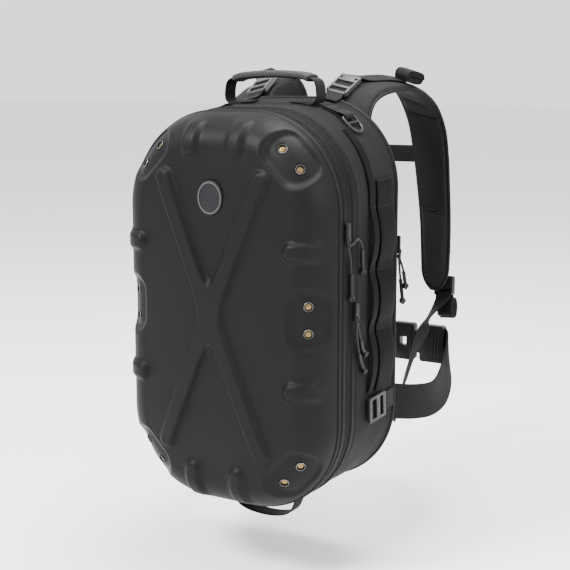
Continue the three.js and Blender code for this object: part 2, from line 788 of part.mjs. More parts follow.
function shoulderRows(side) {
  return strapRows.map(({ across, back, up, wide, sweep, droop }, i) => {
    const splay = side < 0 ? strapSplay * Math.sin(Math.PI * Math.min(i / 6, 1)) : 0;
    const reach = strapHalfWidth * wide;
    return {
      point: vector((across * frontHalfWidth + splay) * side, panelBack + back * strapReach, up * frontHalfHeight),
      half: vector(reach * side, -reach * sweep, -reach * droop),
    };
  });
}

function shoulderStrap(side, extra) {
  return solidOf(ribbon(widened(shoulderRows(side), extra), 20, strapThickness + 2 * extra, true));
}

// Place over the outer face of a shoulder strap: share of its length, across from -1 (inner edge)
// to 1 (outer edge), and the lift off that face
function onStrap(side, share, across, lift) {
  const { point, half, tangent } = rowAt(rowCurves(shoulderRows(side)), share);
  const outward = half.clone().cross(tangent).normalize().multiplyScalar(side);
  point.addScaledVector(half, across).addScaledVector(outward, strapThickness / 2 + lift);
  half.addScaledVector(tangent, -half.dot(tangent)).normalize();
  return { point, half, tangent, outward };
}

function addShoulderStraps() {
  sides.forEach(({ word, side }) => {
    addPiece(`shoulder_strap_${word}`, geometryOf(shoulderStrap(side, 0).subtract(keepOut)), fabric);
  });
}

// Load lifters: webbing from the bag's top through a buckle, with its tail rolled up on the strap
function addLifters() {
  sides.forEach(({ word, side }) => {
    const buckle = onStrap(side, 0.2, -0.6, lifterThickness / 2 + gap);
    const along = (length) => buckle.point.clone().addScaledVector(buckle.tangent, length);
    const wide = (direction) => direction.clone().setLength(webbingWidth / 2);
    const low = along(-lifterLength / 2 - 2);
    const onTop = (y, out) => onWall(y, runAtTop(y, Math.abs(low.x)), out, side).point;
    const tail = [[0.3, -0.4], [0.36, 0], [0.39, 0.35]].map(([share, across]) => (
      onStrap(side, share, across, webbingThickness / 2 + gap + 1)));
    const rows = [
      { point: onTop(gussetEnd - 12, gap + webbingThickness / 2 + 0.4), half: wide(buckle.half) },
      { point: onTop(backPipingY, pipingRadius + gap + webbingThickness / 2 + 0.4), half: wide(buckle.half) },
      { point: low, half: wide(buckle.half) },
      { point: buckle.point, half: wide(buckle.half) },
      { point: along(lifterLength / 2 + 2), half: wide(buckle.half) },
      ...tail.map(({ point, half }) => ({ point, half: wide(half) })),
    ];
    const body = placed(plate(roundedShape(lifterLength / 2, lifterWidth / 2, 4), lifterThickness),
      buckle.point, buckle.tangent, buckle.half);
    addPiece(`lifter_buckle_${word}`, geometryOf(body.subtract(passage(rows, 16, webbingThickness))), plastic);
    const end = onStrap(side, 0.41, 0.55, rollRadius + gap);
    const roll = placed(plate(roundedShape(rollRadius * 1.9, rollRadius, rollRadius * 0.9), webbingWidth),
      end.point, end.tangent, end.outward);
    const strap = solidOf(ribbon(rows, 16, webbingThickness)).add(roll);
    addPiece(`lifter_webbing_${word}`, geometryOf(strap), webbing);
  });
}

// Lower webbing: from a wing at the panel's foot up to the lock at the strap's end, where the
// tail turns back and is rolled up. Places as shares of the named sizes, half as a direction;
// the rows with no across lie on the wing's outer face.
const lowerRoute = [
  { across: 0.84, back: 0.865, up: -0.196, half: [0.5, -0.85, 0.04] },
  { across: 0.84, back: 0.757, up: -0.259, half: [0.88, -0.44, 0.1] },
  { across: 0.879, back: 0.486, up: -0.38, half: [0.6, -0.78, 0.1] },
  { across: 0.925, back: 0.27, up: -0.486, half: [0.5, -0.85, 0.12] },
  { back: 0.13, up: -0.6, half: [0.1, -0.8, 0.58] },
  { back: 0.065, up: -0.655, half: [0, -0.81, 0.59] },
];
const anchorX = 0.9 * frontHalfWidth;
const anchorCorners = [
  { back: -8, up: -0.575 }, { back: 22, up: -0.618 }, { back: 20, up: -0.675 }, { back: -8, up: -0.735 },
];

function lowerRows(side, lock) {
  const near = (down, out) => lock.point.clone().addScaledVector(lock.tangent, down)
    .addScaledVector(lock.outward, out);
  const start = [near(20, 7), near(9, 2.5), near(6.5, 0), near(9, -2.5), near(18, -4)].map((point) => (
    { point, half: lock.half.clone().multiplyScalar(webbingWidth / 2) }));
  const faceX = anchorX + anchorThickness / 2 + 2 * gap + webbingThickness / 2;
  const route = lowerRoute.map(({ across, back, up, half }) => ({
    point: vector((across ? across * frontHalfWidth : faceX) * side,
      panelBack + back * strapReach, up * frontHalfHeight),
    half: vector(half[0] * side, half[1], half[2]).setLength(webbingWidth / 2),
  }));
  return [...start, ...route];
}

function addLowerWebbing() {
  sides.forEach(({ word, side }) => {
    const lock = onStrap(side, 0.985, 0.5, lockThickness / 2 + gap);
    lock.point.addScaledVector(lock.tangent, 3);
    const body = placed(plate(roundedShape(lockLength / 2, lockWidth / 2, 3), lockThickness),
      lock.point, lock.tangent, lock.half);
    const notch = new THREE.BoxGeometry(18, webbingWidth + 5 * gap, lockThickness * 2)
      .translate(lockLength / 2, 0, 0);
    const notchSolid = placed(notch, lock.point, lock.tangent, lock.half);
    addPiece(`ladder_lock_${word}`, geometryOf(body.subtract(notchSolid)), plastic);
    const rollPlace = lock.point.clone().addScaledVector(lock.tangent, 32).addScaledVector(lock.outward, 8);
    const roll = placed(plate(roundedShape(rollRadius * 1.6, rollRadius, rollRadius * 0.9), webbingWidth),
      rollPlace, lock.tangent, lock.outward);
    const strap = solidOf(ribbon(lowerRows(side, lock), 26, webbingThickness)).add(roll);
    addPiece(`lower_webbing_${word}`, geometryOf(strap), webbing);
    const shape = new THREE.Shape(anchorCorners.map(({ back, up }) => (
      new THREE.Vector2(panelBack + back, up * frontHalfHeight))));
    const wing = placed(plate(shape, anchorThickness), vector(anchorX * side, 0, 0), vector(0, 1, 0),
      vector(0, 0, 1));
    addPiece(`lower_anchor_${word}`, geometryOf(wing.subtract(panelSolid(gap))), fabric);
  });
}

// Chest strap between the shoulder straps, with a small buckle in its middle
function addSternumStrap() {
  const lift = webbingThickness / 2 + gap + 0.3;
  const bodies = sides.map(({ word, side }) => {
    const seatOn = [0.2, -0.5, -1].map((across) => onStrap(side, 0.68, across, lift).point);
    const { y, z } = seatOn[2];
    const inner = sternumBuckleLength / 2;
    const points = [...seatOn.map((point) => vector(point.x, point.y, z)),
      vector((inner + 20) * side, y, z), vector((inner - 4) * side, y, z)];
    const rows = points.map((point) => ({ point, half: vector(0, 0, webbingWidth / 2) }));
    const strap = solidOf(ribbon(rows, 9, webbingThickness)).subtract(shoulderStrap(side, gap));
    addPiece(`sternum_webbing_${word}`, geometryOf(strap), webbing);
    return { way: passage(rows, 9, webbingThickness), centre: vector(0, y, z) };
  });
  const shape = roundedShape(sternumBuckleLength / 2, webbingWidth * 0.6, 5);
  const buckle = placed(plate(shape, sternumBuckleThickness), bodies[0].centre, vector(1, 0, 0), vector(0, 0, 1));
  addPiece('sternum_buckle', geometryOf(buckle.subtract(bodies[0].way).subtract(bodies[1].way)), plastic);
}

// Waist belt: places as shares of the named sizes, half as a direction
const beltRight = [
  { across: 0.938, back: -0.033, up: -0.533, half: [0, 0, 1] },
  { across: 1.05, back: 0.163, up: -0.573, half: [0, 0, 1] },
  { across: 1.09, back: 0.367, up: -0.596, half: [-0.04, 0, 1] },
  { across: 1.05, back: 0.571, up: -0.58, half: [-0.28, 0.16, 0.92] },
  { across: 0.97, back: 0.755, up: -0.53, half: [-0.4, 0.32, 0.84] },
  { across: 0.885, back: 0.898, up: -0.47, half: [-0.16, 0.08, 0.96] },
  { across: 0.8, back: 0.98, up: -0.424, half: [0, 0, 1] },
  { across: 0.73, back: 0.98, up: -0.424, half: [0, 0, 1] },
];
const beltLeft = [
  { across: -0.938, back: -0.033, up: -0.533, half: [0, 0, 1] },
  { across: -1.05, back: 0.163, up: -0.573, half: [0, 0, 1] },
  { across: -1.1, back: 0.408, up: -0.596, half: [0, 0, 1] },
  { across: -1.05, back: 0.653, up: -0.573, half: [0, 0, 1] },
  { across: -0.885, back: 0.857, up: -0.51, half: [0, 0, 1] },
  { across: -0.59, back: 0.963, up: -0.455, half: [0, 0, 1] },
  { across: -0.2, back: 0.985, up: -0.426, half: [0, 0, 1] },
  { across: 0.23, back: 0.98, up: -0.424, half: [0, 0, 1] },
  { across: 0.26, back: 0.98, up: -0.424, half: [0, 0, 1] },
];

function beltRows(table) {
  return table.map(({ across, back, up, half }) => ({
    point: vector(across * frontHalfWidth, panelBack + back * beltReach, up * frontHalfHeight),
    half: vector(...half).setLength(beltWidth / 2),
  }));
}

function addWaistBelt() {
  const [right, left] = [beltRows(beltRight), beltRows(beltLeft)];
  const cut = panelSolid(gap);
  addPiece('waist_belt_right', geometryOf(solidOf(ribbon(right, 18, beltThickness)).subtract(cut)), webbing);
  addPiece('waist_belt_left', geometryOf(solidOf(ribbon(left, 20, beltThickness)).subtract(cut)), webbing);

  const { y, z } = right[right.length - 1].point;
  const along = vector(1, 0, 0);
  const up = vector(0, 0, 1);
  const block = (geometry, x) => placed(geometry, vector(x, y, z), along, up);
  const box = (length, height, depth) => new THREE.BoxGeometry(length, height, depth);
  const clipX = left[left.length - 1].point.x + clipLength * 0.32;
  const socketX = clipX + (clipLength + socketLength) / 2 + 9;
  const prongX = clipX + clipLength / 2 + prongLength / 2 - 1;
  const clip = block(plate(roundedShape(clipLength / 2, beltBuckleHeight / 2, 5), beltBuckleThickness), clipX)
    .add(block(box(prongLength, prongHeight, prongThickness), prongX))
    .subtract(block(box(clipLength * 0.3, beltBuckleHeight * 0.24, beltBuckleThickness * 2), clipX))
    .subtract(passage(left, 20, beltThickness));
  addPiece('belt_clip', geometryOf(clip), plastic);
  const socket = block(plate(roundedShape(socketLength / 2, beltBuckleHeight / 2, 5), beltBuckleThickness), socketX)
    .subtract(block(box(prongLength + 2, prongHeight + 2 * gap, prongThickness + 2 * gap), prongX + 0.7))
    .subtract(passage(right, 18, beltThickness));
  addPiece('belt_socket', geometryOf(socket), plastic);
}

// Zip sliders on the right side, each with a clamp from which two pull cords hang.
// Rows are {y, z, out}: station, height over the middle and distance off the side wall.
const pulls = [
  {
    word: 'front', y: frontCoilY, z: 110, out: coilProud + gap, width: sliderWidth,
    cords: [
      [[16, 95, 7.5], [27, 100, 7.5], [37, 97, 6], [44, 88, 5], [47, 70, 4], [48, 57, 4]],
      [[12, 80, 6], [17, 66, 4.5], [19, 48, 4], [19, 28, 4]],
    ],
  },
  {
    word: 'rear', y: rearCoilY, z: 8, out: coilProud + gap, width: sliderWidth,
    cords: [
      [[37, -18, 5.5], [43, -30, 5], [49, -42, 4], [56, -50, 4.5]],
      [[32, -24, 5.5], [37, -40, 5], [45, -58, 4], [54, -72, 4.5]],
    ],
  },
  {
    word: 'back', y: panelFront + 3.5, z: 79, out: gap - pipingRadius * 0.6, width: sliderWidth * 0.5,
    cords: [
      [[155, 46, 7], [157, 24, 10]],
      [[155, 40, 2.6], [155, 20, 5], [155, 4, 7]],
    ],
  },
];

function offSide([y, z, out]) {
  return onWall(y, z - outlineAt(y).rise, out).point;
}

function cordTube(points) {
  const path = new THREE.CatmullRomCurve3(points, false, 'centripetal');
  const section = new THREE.Shape();
  section.absarc(0, 0, cordRadius, 0, Math.PI * 2);
  const steps = Math.max(4, Math.round(path.getLength() / (cordRadius * 5)));
  const settings = { steps, curveSegments: 4, bevelEnabled: false, extrudePath: path };
  return solidOf(new THREE.ExtrudeGeometry(section, settings));
}

function addPulls() {
  const up = vector(0, 0, 1);
  const ahead = vector(0, 1, 0);
  pulls.forEach(({ word, y, z, out, width, cords }) => {
    const shape = roundedShape(sliderLength / 2, width / 2, width * 0.3);
    const slider = placed(plate(shape, sliderThickness), offSide([y, z, out + sliderThickness / 2]), up, ahead);
    addPiece(`zip_slider_${word}`, geometryOf(slider), steel);
    const lift = out + knotRadius + gap;
    const start = offSide([y, z - sliderLength / 2 - gap - knotRadius, lift]);
    const knot = (point) => solidOf(new THREE.IcosahedronGeometry(knotRadius, 0).translate(...point.toArray()));
    let body = knot(start);
    cords.forEach((cord) => {
      const points = [start, ...cord.map(offSide)];
      body = body.add(cordTube(points)).add(knot(points[points.length - 1]));
    });
    addPiece(`zip_cords_${word}`, geometryOf(body), webbing);
  });
}

addBody();
addPiece('back_panel', geometryOf(panelSolid(0)), fabric);
addShell();
addLadders();
addGlides();
addRings();
addHandle();
addBottomLoop();
addShoulderStraps();
addLifters();
addLowerWebbing();
addSternumStrap();
addWaistBelt();
addPulls();

const pack = new THREE.Group();
pack.add(bag);
bag.position.set(0, -panelBack, -backRise);

export default pack;
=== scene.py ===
"""The dressed hard shell backpack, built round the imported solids.

Lengths and places are millimetres in the rim frame, where y = 0 is the plane of the moulded
shell's rim and z = 0 is the middle of that rim. Every mesh is turned into the row frame, in
metres, by `row_frame` when it is made, so that each finished object sits at the origin.
"""

import logging  # noqa: E402
import math  # noqa: E402
from dataclasses import dataclass  # noqa: E402
from enum import Enum  # noqa: E402
from typing import Any, Callable, Sequence  # noqa: E402

import bmesh  # noqa: E402
import bpy  # noqa: E402
import numpy as np  # noqa: E402
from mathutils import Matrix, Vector  # noqa: E402


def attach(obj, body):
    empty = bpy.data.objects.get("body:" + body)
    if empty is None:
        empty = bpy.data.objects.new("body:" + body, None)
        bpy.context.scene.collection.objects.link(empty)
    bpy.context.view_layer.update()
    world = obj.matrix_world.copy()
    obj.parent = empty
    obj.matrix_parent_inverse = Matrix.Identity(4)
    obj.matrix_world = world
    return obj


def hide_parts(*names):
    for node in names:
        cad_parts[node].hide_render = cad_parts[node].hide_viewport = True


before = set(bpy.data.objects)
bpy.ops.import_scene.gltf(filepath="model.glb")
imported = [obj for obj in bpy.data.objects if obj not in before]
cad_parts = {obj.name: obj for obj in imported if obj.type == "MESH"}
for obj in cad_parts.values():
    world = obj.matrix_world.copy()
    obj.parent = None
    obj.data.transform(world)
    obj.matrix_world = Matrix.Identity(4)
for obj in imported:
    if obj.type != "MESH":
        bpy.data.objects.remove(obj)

log = logging.getLogger("backpack")

MM = 0.001  # one millimetre, in metres
GAP = 0.3  # the air between neighbouring pieces
MOULDED_SHARP = 32.0  # moulded parts keep edges that turn by more degrees than this
ROOT = "root"
Array = np.ndarray
Piece = bpy.types.Object
Socket = bpy.types.NodeSocket
Tree = bpy.types.NodeTree


def vec(*values: float) -> Array:
    """Return the values as one vector."""
    return np.array(values, float)


def unit(vector: Array) -> Array:
    """Return the vector at length one."""
    return vector / np.linalg.norm(vector)


def smooth(low: float, high: float, value: Array) -> Array:
    """Return a soft step from 0 at low to 1 at high."""
    share = np.clip((value - low) / (high - low), 0, 1)
    return share * share * (3 - 2 * share)


def rounded_inset(x: Array, z: Array, half_width: float, half_height: float, corner: float) -> Array:
    """Return the distance in from a rounded rectangle round the origin."""
    qx = np.abs(x) - (half_width - corner)
    qz = np.abs(z) - (half_height - corner)
    return corner - np.hypot(np.maximum(qx, 0), np.maximum(qz, 0)) - np.minimum(np.maximum(qx, qz), 0)


# ---- The bag's outline


@dataclass(frozen=True)
class Bag:
    """Driving sizes of the bag, the same as the solids have.

    The outline is a rounded rectangle that grows and rises a little from the shell's rim to
    the back seam.
    """

    front_half_width: float = 152.5
    front_half_height: float = 255
    front_corner: float = 122
    back_half_width: float = 155.5
    back_half_height: float = 261
    back_corner: float = 116
    back_rise: float = 9
    shell_edge: float = 5.6
    front_zip_end: float = 18
    rear_zip_end: float = 40
    front_coil_share: float = 0.45
    rear_coil_share: float = 0.6
    gusset_end: float = 143
    piping: float = 2.7
    panel_thickness: float = 11

    @property
    def back_piping_y(self) -> float:
        """Return the station of the back piping."""
        return self.gusset_end + GAP + self.piping

    @property
    def panel_front(self) -> float:
        """Return the station where the back panel starts."""
        return self.back_piping_y + self.piping + GAP

    @property
    def panel_back(self) -> float:
        """Return the station of the wearer's face."""
        return self.panel_front + self.panel_thickness

    @property
    def front_coil_y(self) -> float:
        """Return the station of the front zip's coil."""
        return self.front_zip_end * self.front_coil_share

    @property
    def rear_coil_y(self) -> float:
        """Return the station of the rear zip's coil."""
        return self.front_zip_end + (self.rear_zip_end - self.front_zip_end) * self.rear_coil_share

    def gusset_station(self, share: float) -> float:
        """Return the station at a share of the gusset's depth, from the rear zip to the back."""
        return self.rear_zip_end + (self.gusset_end - self.rear_zip_end) * share

    def at(self, y: float) -> tuple[float, float, float, float]:
        """Return half width, half height, corner radius and rise at a station."""
        share = y / self.gusset_end
        front = (self.front_half_width, self.front_half_height, self.front_corner, 0)
        back = (self.back_half_width, self.back_half_height, self.back_corner, self.back_rise)
        half_width, half_height, corner, rise = (a + (b - a) * share for a, b in zip(front, back))
        return half_width, half_height, corner, rise

    def ring(self, y: float, out: float, count: int = 288) -> Array:
        """Return points round the outline.

        Args:
            y: Station of the ring.
            out: Distance off the wall, outwards.
            count: Number of points, shared between corners and straights.

        Returns:
            Array of (count, 3) points, from the right side at mid height over the top.
        """
        half_width, half_height, corner, rise = self.at(y)
        side, top = half_height - corner, half_width - corner
        arc = corner * math.pi / 2
        quarter = side + arc + top
        run = np.linspace(0, quarter, count // 4, endpoint=False)
        angle = np.clip((run - side) / corner, 0, math.pi / 2)
        past = np.clip(run - side - arc, 0, None)
        x = half_width - corner + (corner + out) * np.cos(angle) - past
        z = np.minimum(run, side) + (corner + out) * np.sin(angle)
        end_x, end_z = vec(0.0), vec(half_height + out)
        first = np.stack([x, z], 1)
        back = np.stack([np.append(x[1:], end_x), np.append(z[1:], end_z)], 1)[::-1]
        loop = np.concatenate([first, back * vec(-1, 1), -first, back * vec(1, -1)])
        return np.stack([loop[:, 0], np.full(len(loop), y), loop[:, 1] + rise], 1)

    def on_wall(self, y: float, run: float, out: float, side: float = 1) -> tuple[Array, Array]:
        """Return a point off the side wall and the wall's normal there.

        Args:
            y: Station.
            run: Length along the outline from mid height, up positive.
            out: Distance off the wall.
            side: 1 for the right side, -1 for the left.
        """
        half_width, half_height, corner, rise = self.at(y)
        straight = half_height - corner
        sign = math.copysign(1, run) if run else 1
        length = abs(run)
        x, z, normal = half_width + out, length, vec(1, 0, 0)
        if length > straight:
            angle = min((length - straight) / corner, math.pi / 2)
            past = max(length - straight - corner * math.pi / 2, 0)
            normal = vec(math.cos(angle), 0, math.sin(angle))
            x = half_width - corner + (corner + out) * math.cos(angle) - past
            z = straight + (corner + out) * math.sin(angle)
        return vec(x * side, y, rise + z * sign), normal * vec(side, 1, sign)

    def wall_ahead(self, y: float, run: float, side: float = 1) -> Array:
        """Return the direction along the wall towards the wearer."""
        return unit(self.on_wall(y + 1, run, 0, side)[0] - self.on_wall(y - 1, run, 0, side)[0])

    def run_at_top(self, y: float, x: float) -> float:
        """Return the run of a point of the top that has the given x."""
        half_width, half_height, corner, _ = self.at(y)
        inner, straight = half_width - corner, half_height - corner
        if x < inner:
            return straight + corner * math.pi / 2 + inner - x
        return straight + corner * math.acos((x - inner) / corner)


BAG = Bag()


def row_frame(points: Array) -> Array:
    """Turn millimetres in the rim frame into metres in the row frame."""
    return (np.asarray(points, float) - vec(0, BAG.panel_back, BAG.back_rise)) * MM


# ---- Finishes


def linear(code: str) -> tuple[float, float, float, float]:
    """Turn an sRGB hex code into a linear colour."""
    values = [int(code[i : i + 2], 16) / 255 for i in (1, 3, 5)]
    red, green, blue = (v / 12.92 if v <= 0.04045 else ((v + 0.055) / 1.055) ** 2.4 for v in values)
    return red, green, blue, 1.0


def add_node(tree: Tree, kind: str, settings: dict | None = None, **inputs: Any) -> Any:
    """Add a node with its settings and links.

    Args:
        tree: The tree that takes the node.
        kind: The node's Blender type.
        settings: Properties to set on the node.
        inputs: Sockets by number ("i0") or by name, each with a value or a socket to link.

    Returns:
        The node.
    """
    node = tree.nodes.new(kind)
    for key, value in (settings or {}).items():
        setattr(node, key, value)
    for key, value in inputs.items():
        numbered = key[0] == "i" and key[1:].isdigit()
        socket = node.inputs[int(key[1:])] if numbered else node.inputs[key.replace("_", " ")]
        if isinstance(value, Socket):
            tree.links.new(value, socket)
        else:
            socket.default_value = value
    return node


def compute(tree: Tree, operation: str, *values: Any) -> Socket:
    """Add a maths node for values or sockets, and return its result."""
    inputs = {f"i{number}": value for number, value in enumerate(values)}
    return add_node(tree, "ShaderNodeMath", {"operation": operation}, **inputs).outputs[0]


class Space(Enum):
    """Where a pattern is measured."""

    SURFACE = "UV"
    SOLID = "Object"


@dataclass(frozen=True)
class Finish:
    """A material of this object. Its subclasses add the relief of the real one, `depth` mm deep; the
    relief's low places take the darker `deep` colour as painted shade in its hollows.
    """

    name: str
    colour: str
    # the colour of the relief's low places: painted shade in its hollows
    deep: str
    roughness: float
    metallic: float = 0.0
    ior: float = 1.5
    sheen: float = 0.0
    coat: float = 0.0
    specular: float = 0.09
    space: Space = Space.SOLID
    depth: float = 0.05

    def relief(self, tree: Tree, place: Socket) -> Socket:
        """Return the relief's height, from 0 to 1."""
        return add_node(tree, "ShaderNodeTexNoise", Vector=place, Scale=900.0, Detail=3.0).outputs["Fac"]

    def ripple(self, tree: Tree, value: Socket, period: float) -> Socket:
        """Return a sine of a length, from 0 to 1, with the period in metres."""
        wave = compute(tree, "SINE", compute(tree, "MULTIPLY", value, math.tau / period))
        return compute(tree, "MULTIPLY_ADD", wave, 0.5, 0.5)

    def along(self, tree: Tree, place: Socket, x: float, y: float) -> Socket:
        """Return x times the place's first value plus y times its second."""
        settings = {"operation": "DOT_PRODUCT"}
        dot = add_node(tree, "ShaderNodeVectorMath", settings, i0=place, i1=(x, y, 0.0))
        return dot.outputs["Value"]

    def build(self) -> bpy.types.Material:
        """Build the material, or return it where it is built already."""
        found = bpy.data.materials.get(self.name)
        if found:
            return found
        material = bpy.data.materials.new(self.name)
        material.use_nodes = True
        tree = material.node_tree
        tree.nodes.clear()
        places = add_node(tree, "ShaderNodeTexCoord").outputs
        height = self.relief(tree, places[self.space.value])
        wear = add_node(tree, "ShaderNodeTexNoise", None, Vector=places["Object"], Scale=14.0, Detail=4.0)
        # The colour mixes random tone from the noise with painted shade: the relief's low places turn to the
        # darker `deep` colour.
        tone_and_hollow_shade = add_node(
            tree, "ShaderNodeMath", {"operation": "MULTIPLY_ADD", "use_clamp": True},
            i0=wear.outputs["Fac"], i1=0.5, i2=height,
        )
        share = add_node(
            tree, "ShaderNodeMapRange", None, Value=tone_and_hollow_shade.outputs[0], i1=0.15, i2=1.15, i3=0.0, i4=1.0
        )
        colour = add_node(
            tree, "ShaderNodeMix", {"data_type": "RGBA"},
            i0=share.outputs["Result"], i6=linear(self.deep), i7=linear(self.colour),
        )
        rough = add_node(
            tree, "ShaderNodeMapRange", None, Value=wear.outputs["Fac"],
            i1=0.3, i2=0.7, i3=self.roughness - 0.05, i4=self.roughness + 0.05,
        )
        bump = add_node(
            tree, "ShaderNodeBump", None, Strength=1.0, Distance=self.depth * MM, Height=height
        )
        shader = add_node(
            tree, "ShaderNodeBsdfPrincipled", None,
            Base_Color=colour.outputs[2], Roughness=rough.outputs["Result"], Metallic=self.metallic,
            IOR=self.ior, Normal=bump.outputs["Normal"], Sheen_Weight=self.sheen, Sheen_Roughness=0.45,
            Coat_Weight=self.coat, Coat_Roughness=0.3, Specular_IOR_Level=self.specular,
        )
        add_node(tree, "ShaderNodeOutputMaterial", None, Surface=shader.outputs["BSDF"])
        return material


@dataclass(frozen=True)
class WovenNylon(Finish):
    """Coated nylon pack cloth: a plain weave with a dry sheen.

    The real thread is 0.5 mm, drawn at 1.5 mm so that it shows in the render.
    """

    thread: float = 1.5
    space: Space = Space.SURFACE
    depth: float = 0.22

    def relief(self, tree: Tree, place: Socket) -> Socket:
        """Return the crossing threads of a plain weave."""
        period = self.thread * 2 * MM
        warp = self.ripple(tree, self.along(tree, place, 1, 0), period)
        weft = self.ripple(tree, self.along(tree, place, 0, 1), period)
        return compute(tree, "ABSOLUTE", compute(tree, "SUBTRACT", warp, weft))


@dataclass(frozen=True)
class Webbing(Finish):
    """Nylon webbing: slanted ribs, which catch the light along its length."""

    rib: float = 2.4
    space: Space = Space.SURFACE
    depth: float = 0.16

    def relief(self, tree: Tree, place: Socket) -> Socket:
        """Return slanted ribs over the strap with fine lengthwise furrows."""
        slant = self.ripple(tree, self.along(tree, place, 1, 0.55), self.rib * MM)
        furrow = self.ripple(tree, self.along(tree, place, 0, 1), self.rib * 1.6 * MM)
        return compute(tree, "MULTIPLY", compute(tree, "MULTIPLY_ADD", slant, 0.6, furrow), 0.62)


@dataclass(frozen=True)
class AirMesh(Finish):
    """Knitted spacer mesh over foam: small open cells, drawn at 3 mm, soft and dark."""

    cell: float = 3.0
    depth: float = 0.5

    def relief(self, tree: Tree, place: Socket) -> Socket:
        """Return rows of small round holes."""
        cells = add_node(
            tree, "ShaderNodeTexVoronoi", None, Vector=place, Scale=1 / (self.cell * MM), Randomness=0.25
        )
        rim = add_node(
            tree, "ShaderNodeMapRange", None, Value=cells.outputs["Distance"], i1=0.12, i2=0.42
        )
        return rim.outputs["Result"]


@dataclass(frozen=True)
class MouldedFoam(Finish):
    """Foam board pressed under nylon cloth: a fine even grain and a satin glow on its edges."""

    grain: float = 1.4
    depth: float = 0.13

    def relief(self, tree: Tree, place: Socket) -> Socket:
        """Return the pressed cloth's grain."""
        fine = add_node(tree, "ShaderNodeTexVoronoi", None, Vector=place, Scale=1 / (self.grain * MM))
        soft = add_node(tree, "ShaderNodeTexNoise", None, Vector=place, Scale=260.0, Detail=5.0)
        return compute(tree, "MULTIPLY_ADD", fine.outputs["Distance"], 0.5, soft.outputs["Fac"])


@dataclass(frozen=True)
class Spark(Finish):
    """Moulded acetal: spark-eroded texture, which breaks the gloss into a soft sheen."""

    grit: float = 0.9
    depth: float = 0.06

    def relief(self, tree: Tree, place: Socket) -> Socket:
        """Return the mould's fine pits."""
        pits = add_node(
            tree, "ShaderNodeTexNoise", None, Vector=place, Scale=1 / (self.grit * MM), Detail=2.0
        )
        return pits.outputs["Fac"]


@dataclass(frozen=True)
class Braid(Finish):
    """Braided cord: strands that cross in two slants round the cord."""

    strand: float = 1.8
    space: Space = Space.SURFACE
    depth: float = 0.3

    def relief(self, tree: Tree, place: Socket) -> Socket:
        """Return the crossing strands."""
        one = self.ripple(tree, self.along(tree, place, 1, 1), self.strand * MM)
        two = self.ripple(tree, self.along(tree, place, 1, -1), self.strand * MM)
        return compute(tree, "MAXIMUM", one, two)


@dataclass(frozen=True)
class Basket(Finish):
    """Rubber grip moulded with a basket pattern: raised pips, paler on their tops, with painted shade dark
    in the hollows between them.
    """

    pip: float = 3.4
    depth: float = 0.6

    def relief(self, tree: Tree, place: Socket) -> Socket:
        """Return rows of square pips, each row shifted against the next."""
        one = self.ripple(tree, self.along(tree, place, 1, 1), self.pip * 1.41 * MM)
        two = self.ripple(tree, self.along(tree, place, 1, -1), self.pip * 1.41 * MM)
        return compute(tree, "MULTIPLY", one, two)


CLOTH = WovenNylon("nylon_pack_cloth", "#121213", "#0a0a0b", 0.76, sheen=0.02)
TAPE = WovenNylon("nylon_zip_tape", "#141415", "#070708", 0.58, thread=1.1, specular=0.08)
STRAP = Webbing("nylon_webbing", "#101011", "#08080a", 0.62, sheen=0.02)
GEAR = Webbing("nylon_gear_webbing", "#0a0a0b", "#050506", 0.7, specular=0.06)
BELT = Webbing("nylon_belt_webbing", "#121213", "#0a0a0b", 0.66, rib=2.0, specular=0.07)
BINDING = Webbing("nylon_binding_tape", "#131314", "#09090a", 0.55, rib=1.8, specular=0.11)
SPACER = AirMesh("spacer_mesh_on_foam", "#151517", "#070708", 0.85, sheen=0.03)
PAD_CLOTH = MouldedFoam("pressed_strap_cloth", "#1b1b1c", "#111112", 0.78, sheen=0.02, grain=1.8)
SHELL = MouldedFoam("moulded_foam_shell", "#0e0e0f", "#0a0a0a", 0.5, specular=0.09)
ACETAL = Spark("moulded_acetal", "#18181a", "#101011", 0.4, specular=0.25)
# A paler copy of the black acetal: painted sheen on the lifter buckles.
ACETAL_SHEEN = Spark("moulded_acetal_painted_sheen", "#3e3e41", "#2e2e30", 0.36, specular=0.35)
ACETAL_DARK = Spark("moulded_acetal_black", "#0d0d0e", "#080808", 0.3, specular=0.2)
RUBBER = Spark("moulded_rubber", "#1d1d1f", "#161618", 0.55, grit=1.2)
TRIM = Spark("satin_grey_trim", "#48484a", "#3a3a3c", 0.45, specular=0.25)
NICKEL = Spark("black_nickel_plate", "#787672", "#55534f", 0.34, metallic=1.0)
NICKEL_DARK = Spark("black_nickel_wire", "#3a3a3c", "#262628", 0.4, metallic=0.7, specular=0.3)
# the eyelet's real brass, dimmed by painted shade as it sits down in the hole
BRASS = Spark("rolled_brass", "#86704a", "#5a4730", 0.42, metallic=1.0)
PAINTED = Spark("painted_zinc", "#101011", "#0a0a0b", 0.45, specular=0.14)
THREAD = Spark("nylon_thread", "#262628", "#1b1b1c", 0.6)
COIL = Spark("nylon_zip_coil", "#0d0d0e", "#070708", 0.42, specular=0.1)
# the pale tops over dark hollows come from the relief: painted shade between the pips
GRIP = Basket("rubber_basket_grip", "#424244", "#0c0c0d", 0.5, space=Space.SURFACE, specular=0.2)
CORD = Braid("braided_nylon_cord", "#1a1a1b", "#070708", 0.5, specular=0.2)


# ---- Meshes


def finish_mesh(obj: Piece, finishes: Sequence[Finish], sharp: float = 40.0) -> Piece:
    """Give an object its materials and smooth shading with sharp edges kept.

    Args:
        obj: The mesh object.
        finishes: Its finishes, in the order of its material slots.
        sharp: Edges that turn by more than this, in degrees, stay sharp.

    Returns:
        The same object.
    """
    for finish in finishes:
        obj.data.materials.append(finish.build())
    obj.data.shade_smooth()
    obj.data.set_sharp_from_angle(angle=math.radians(sharp))
    return obj


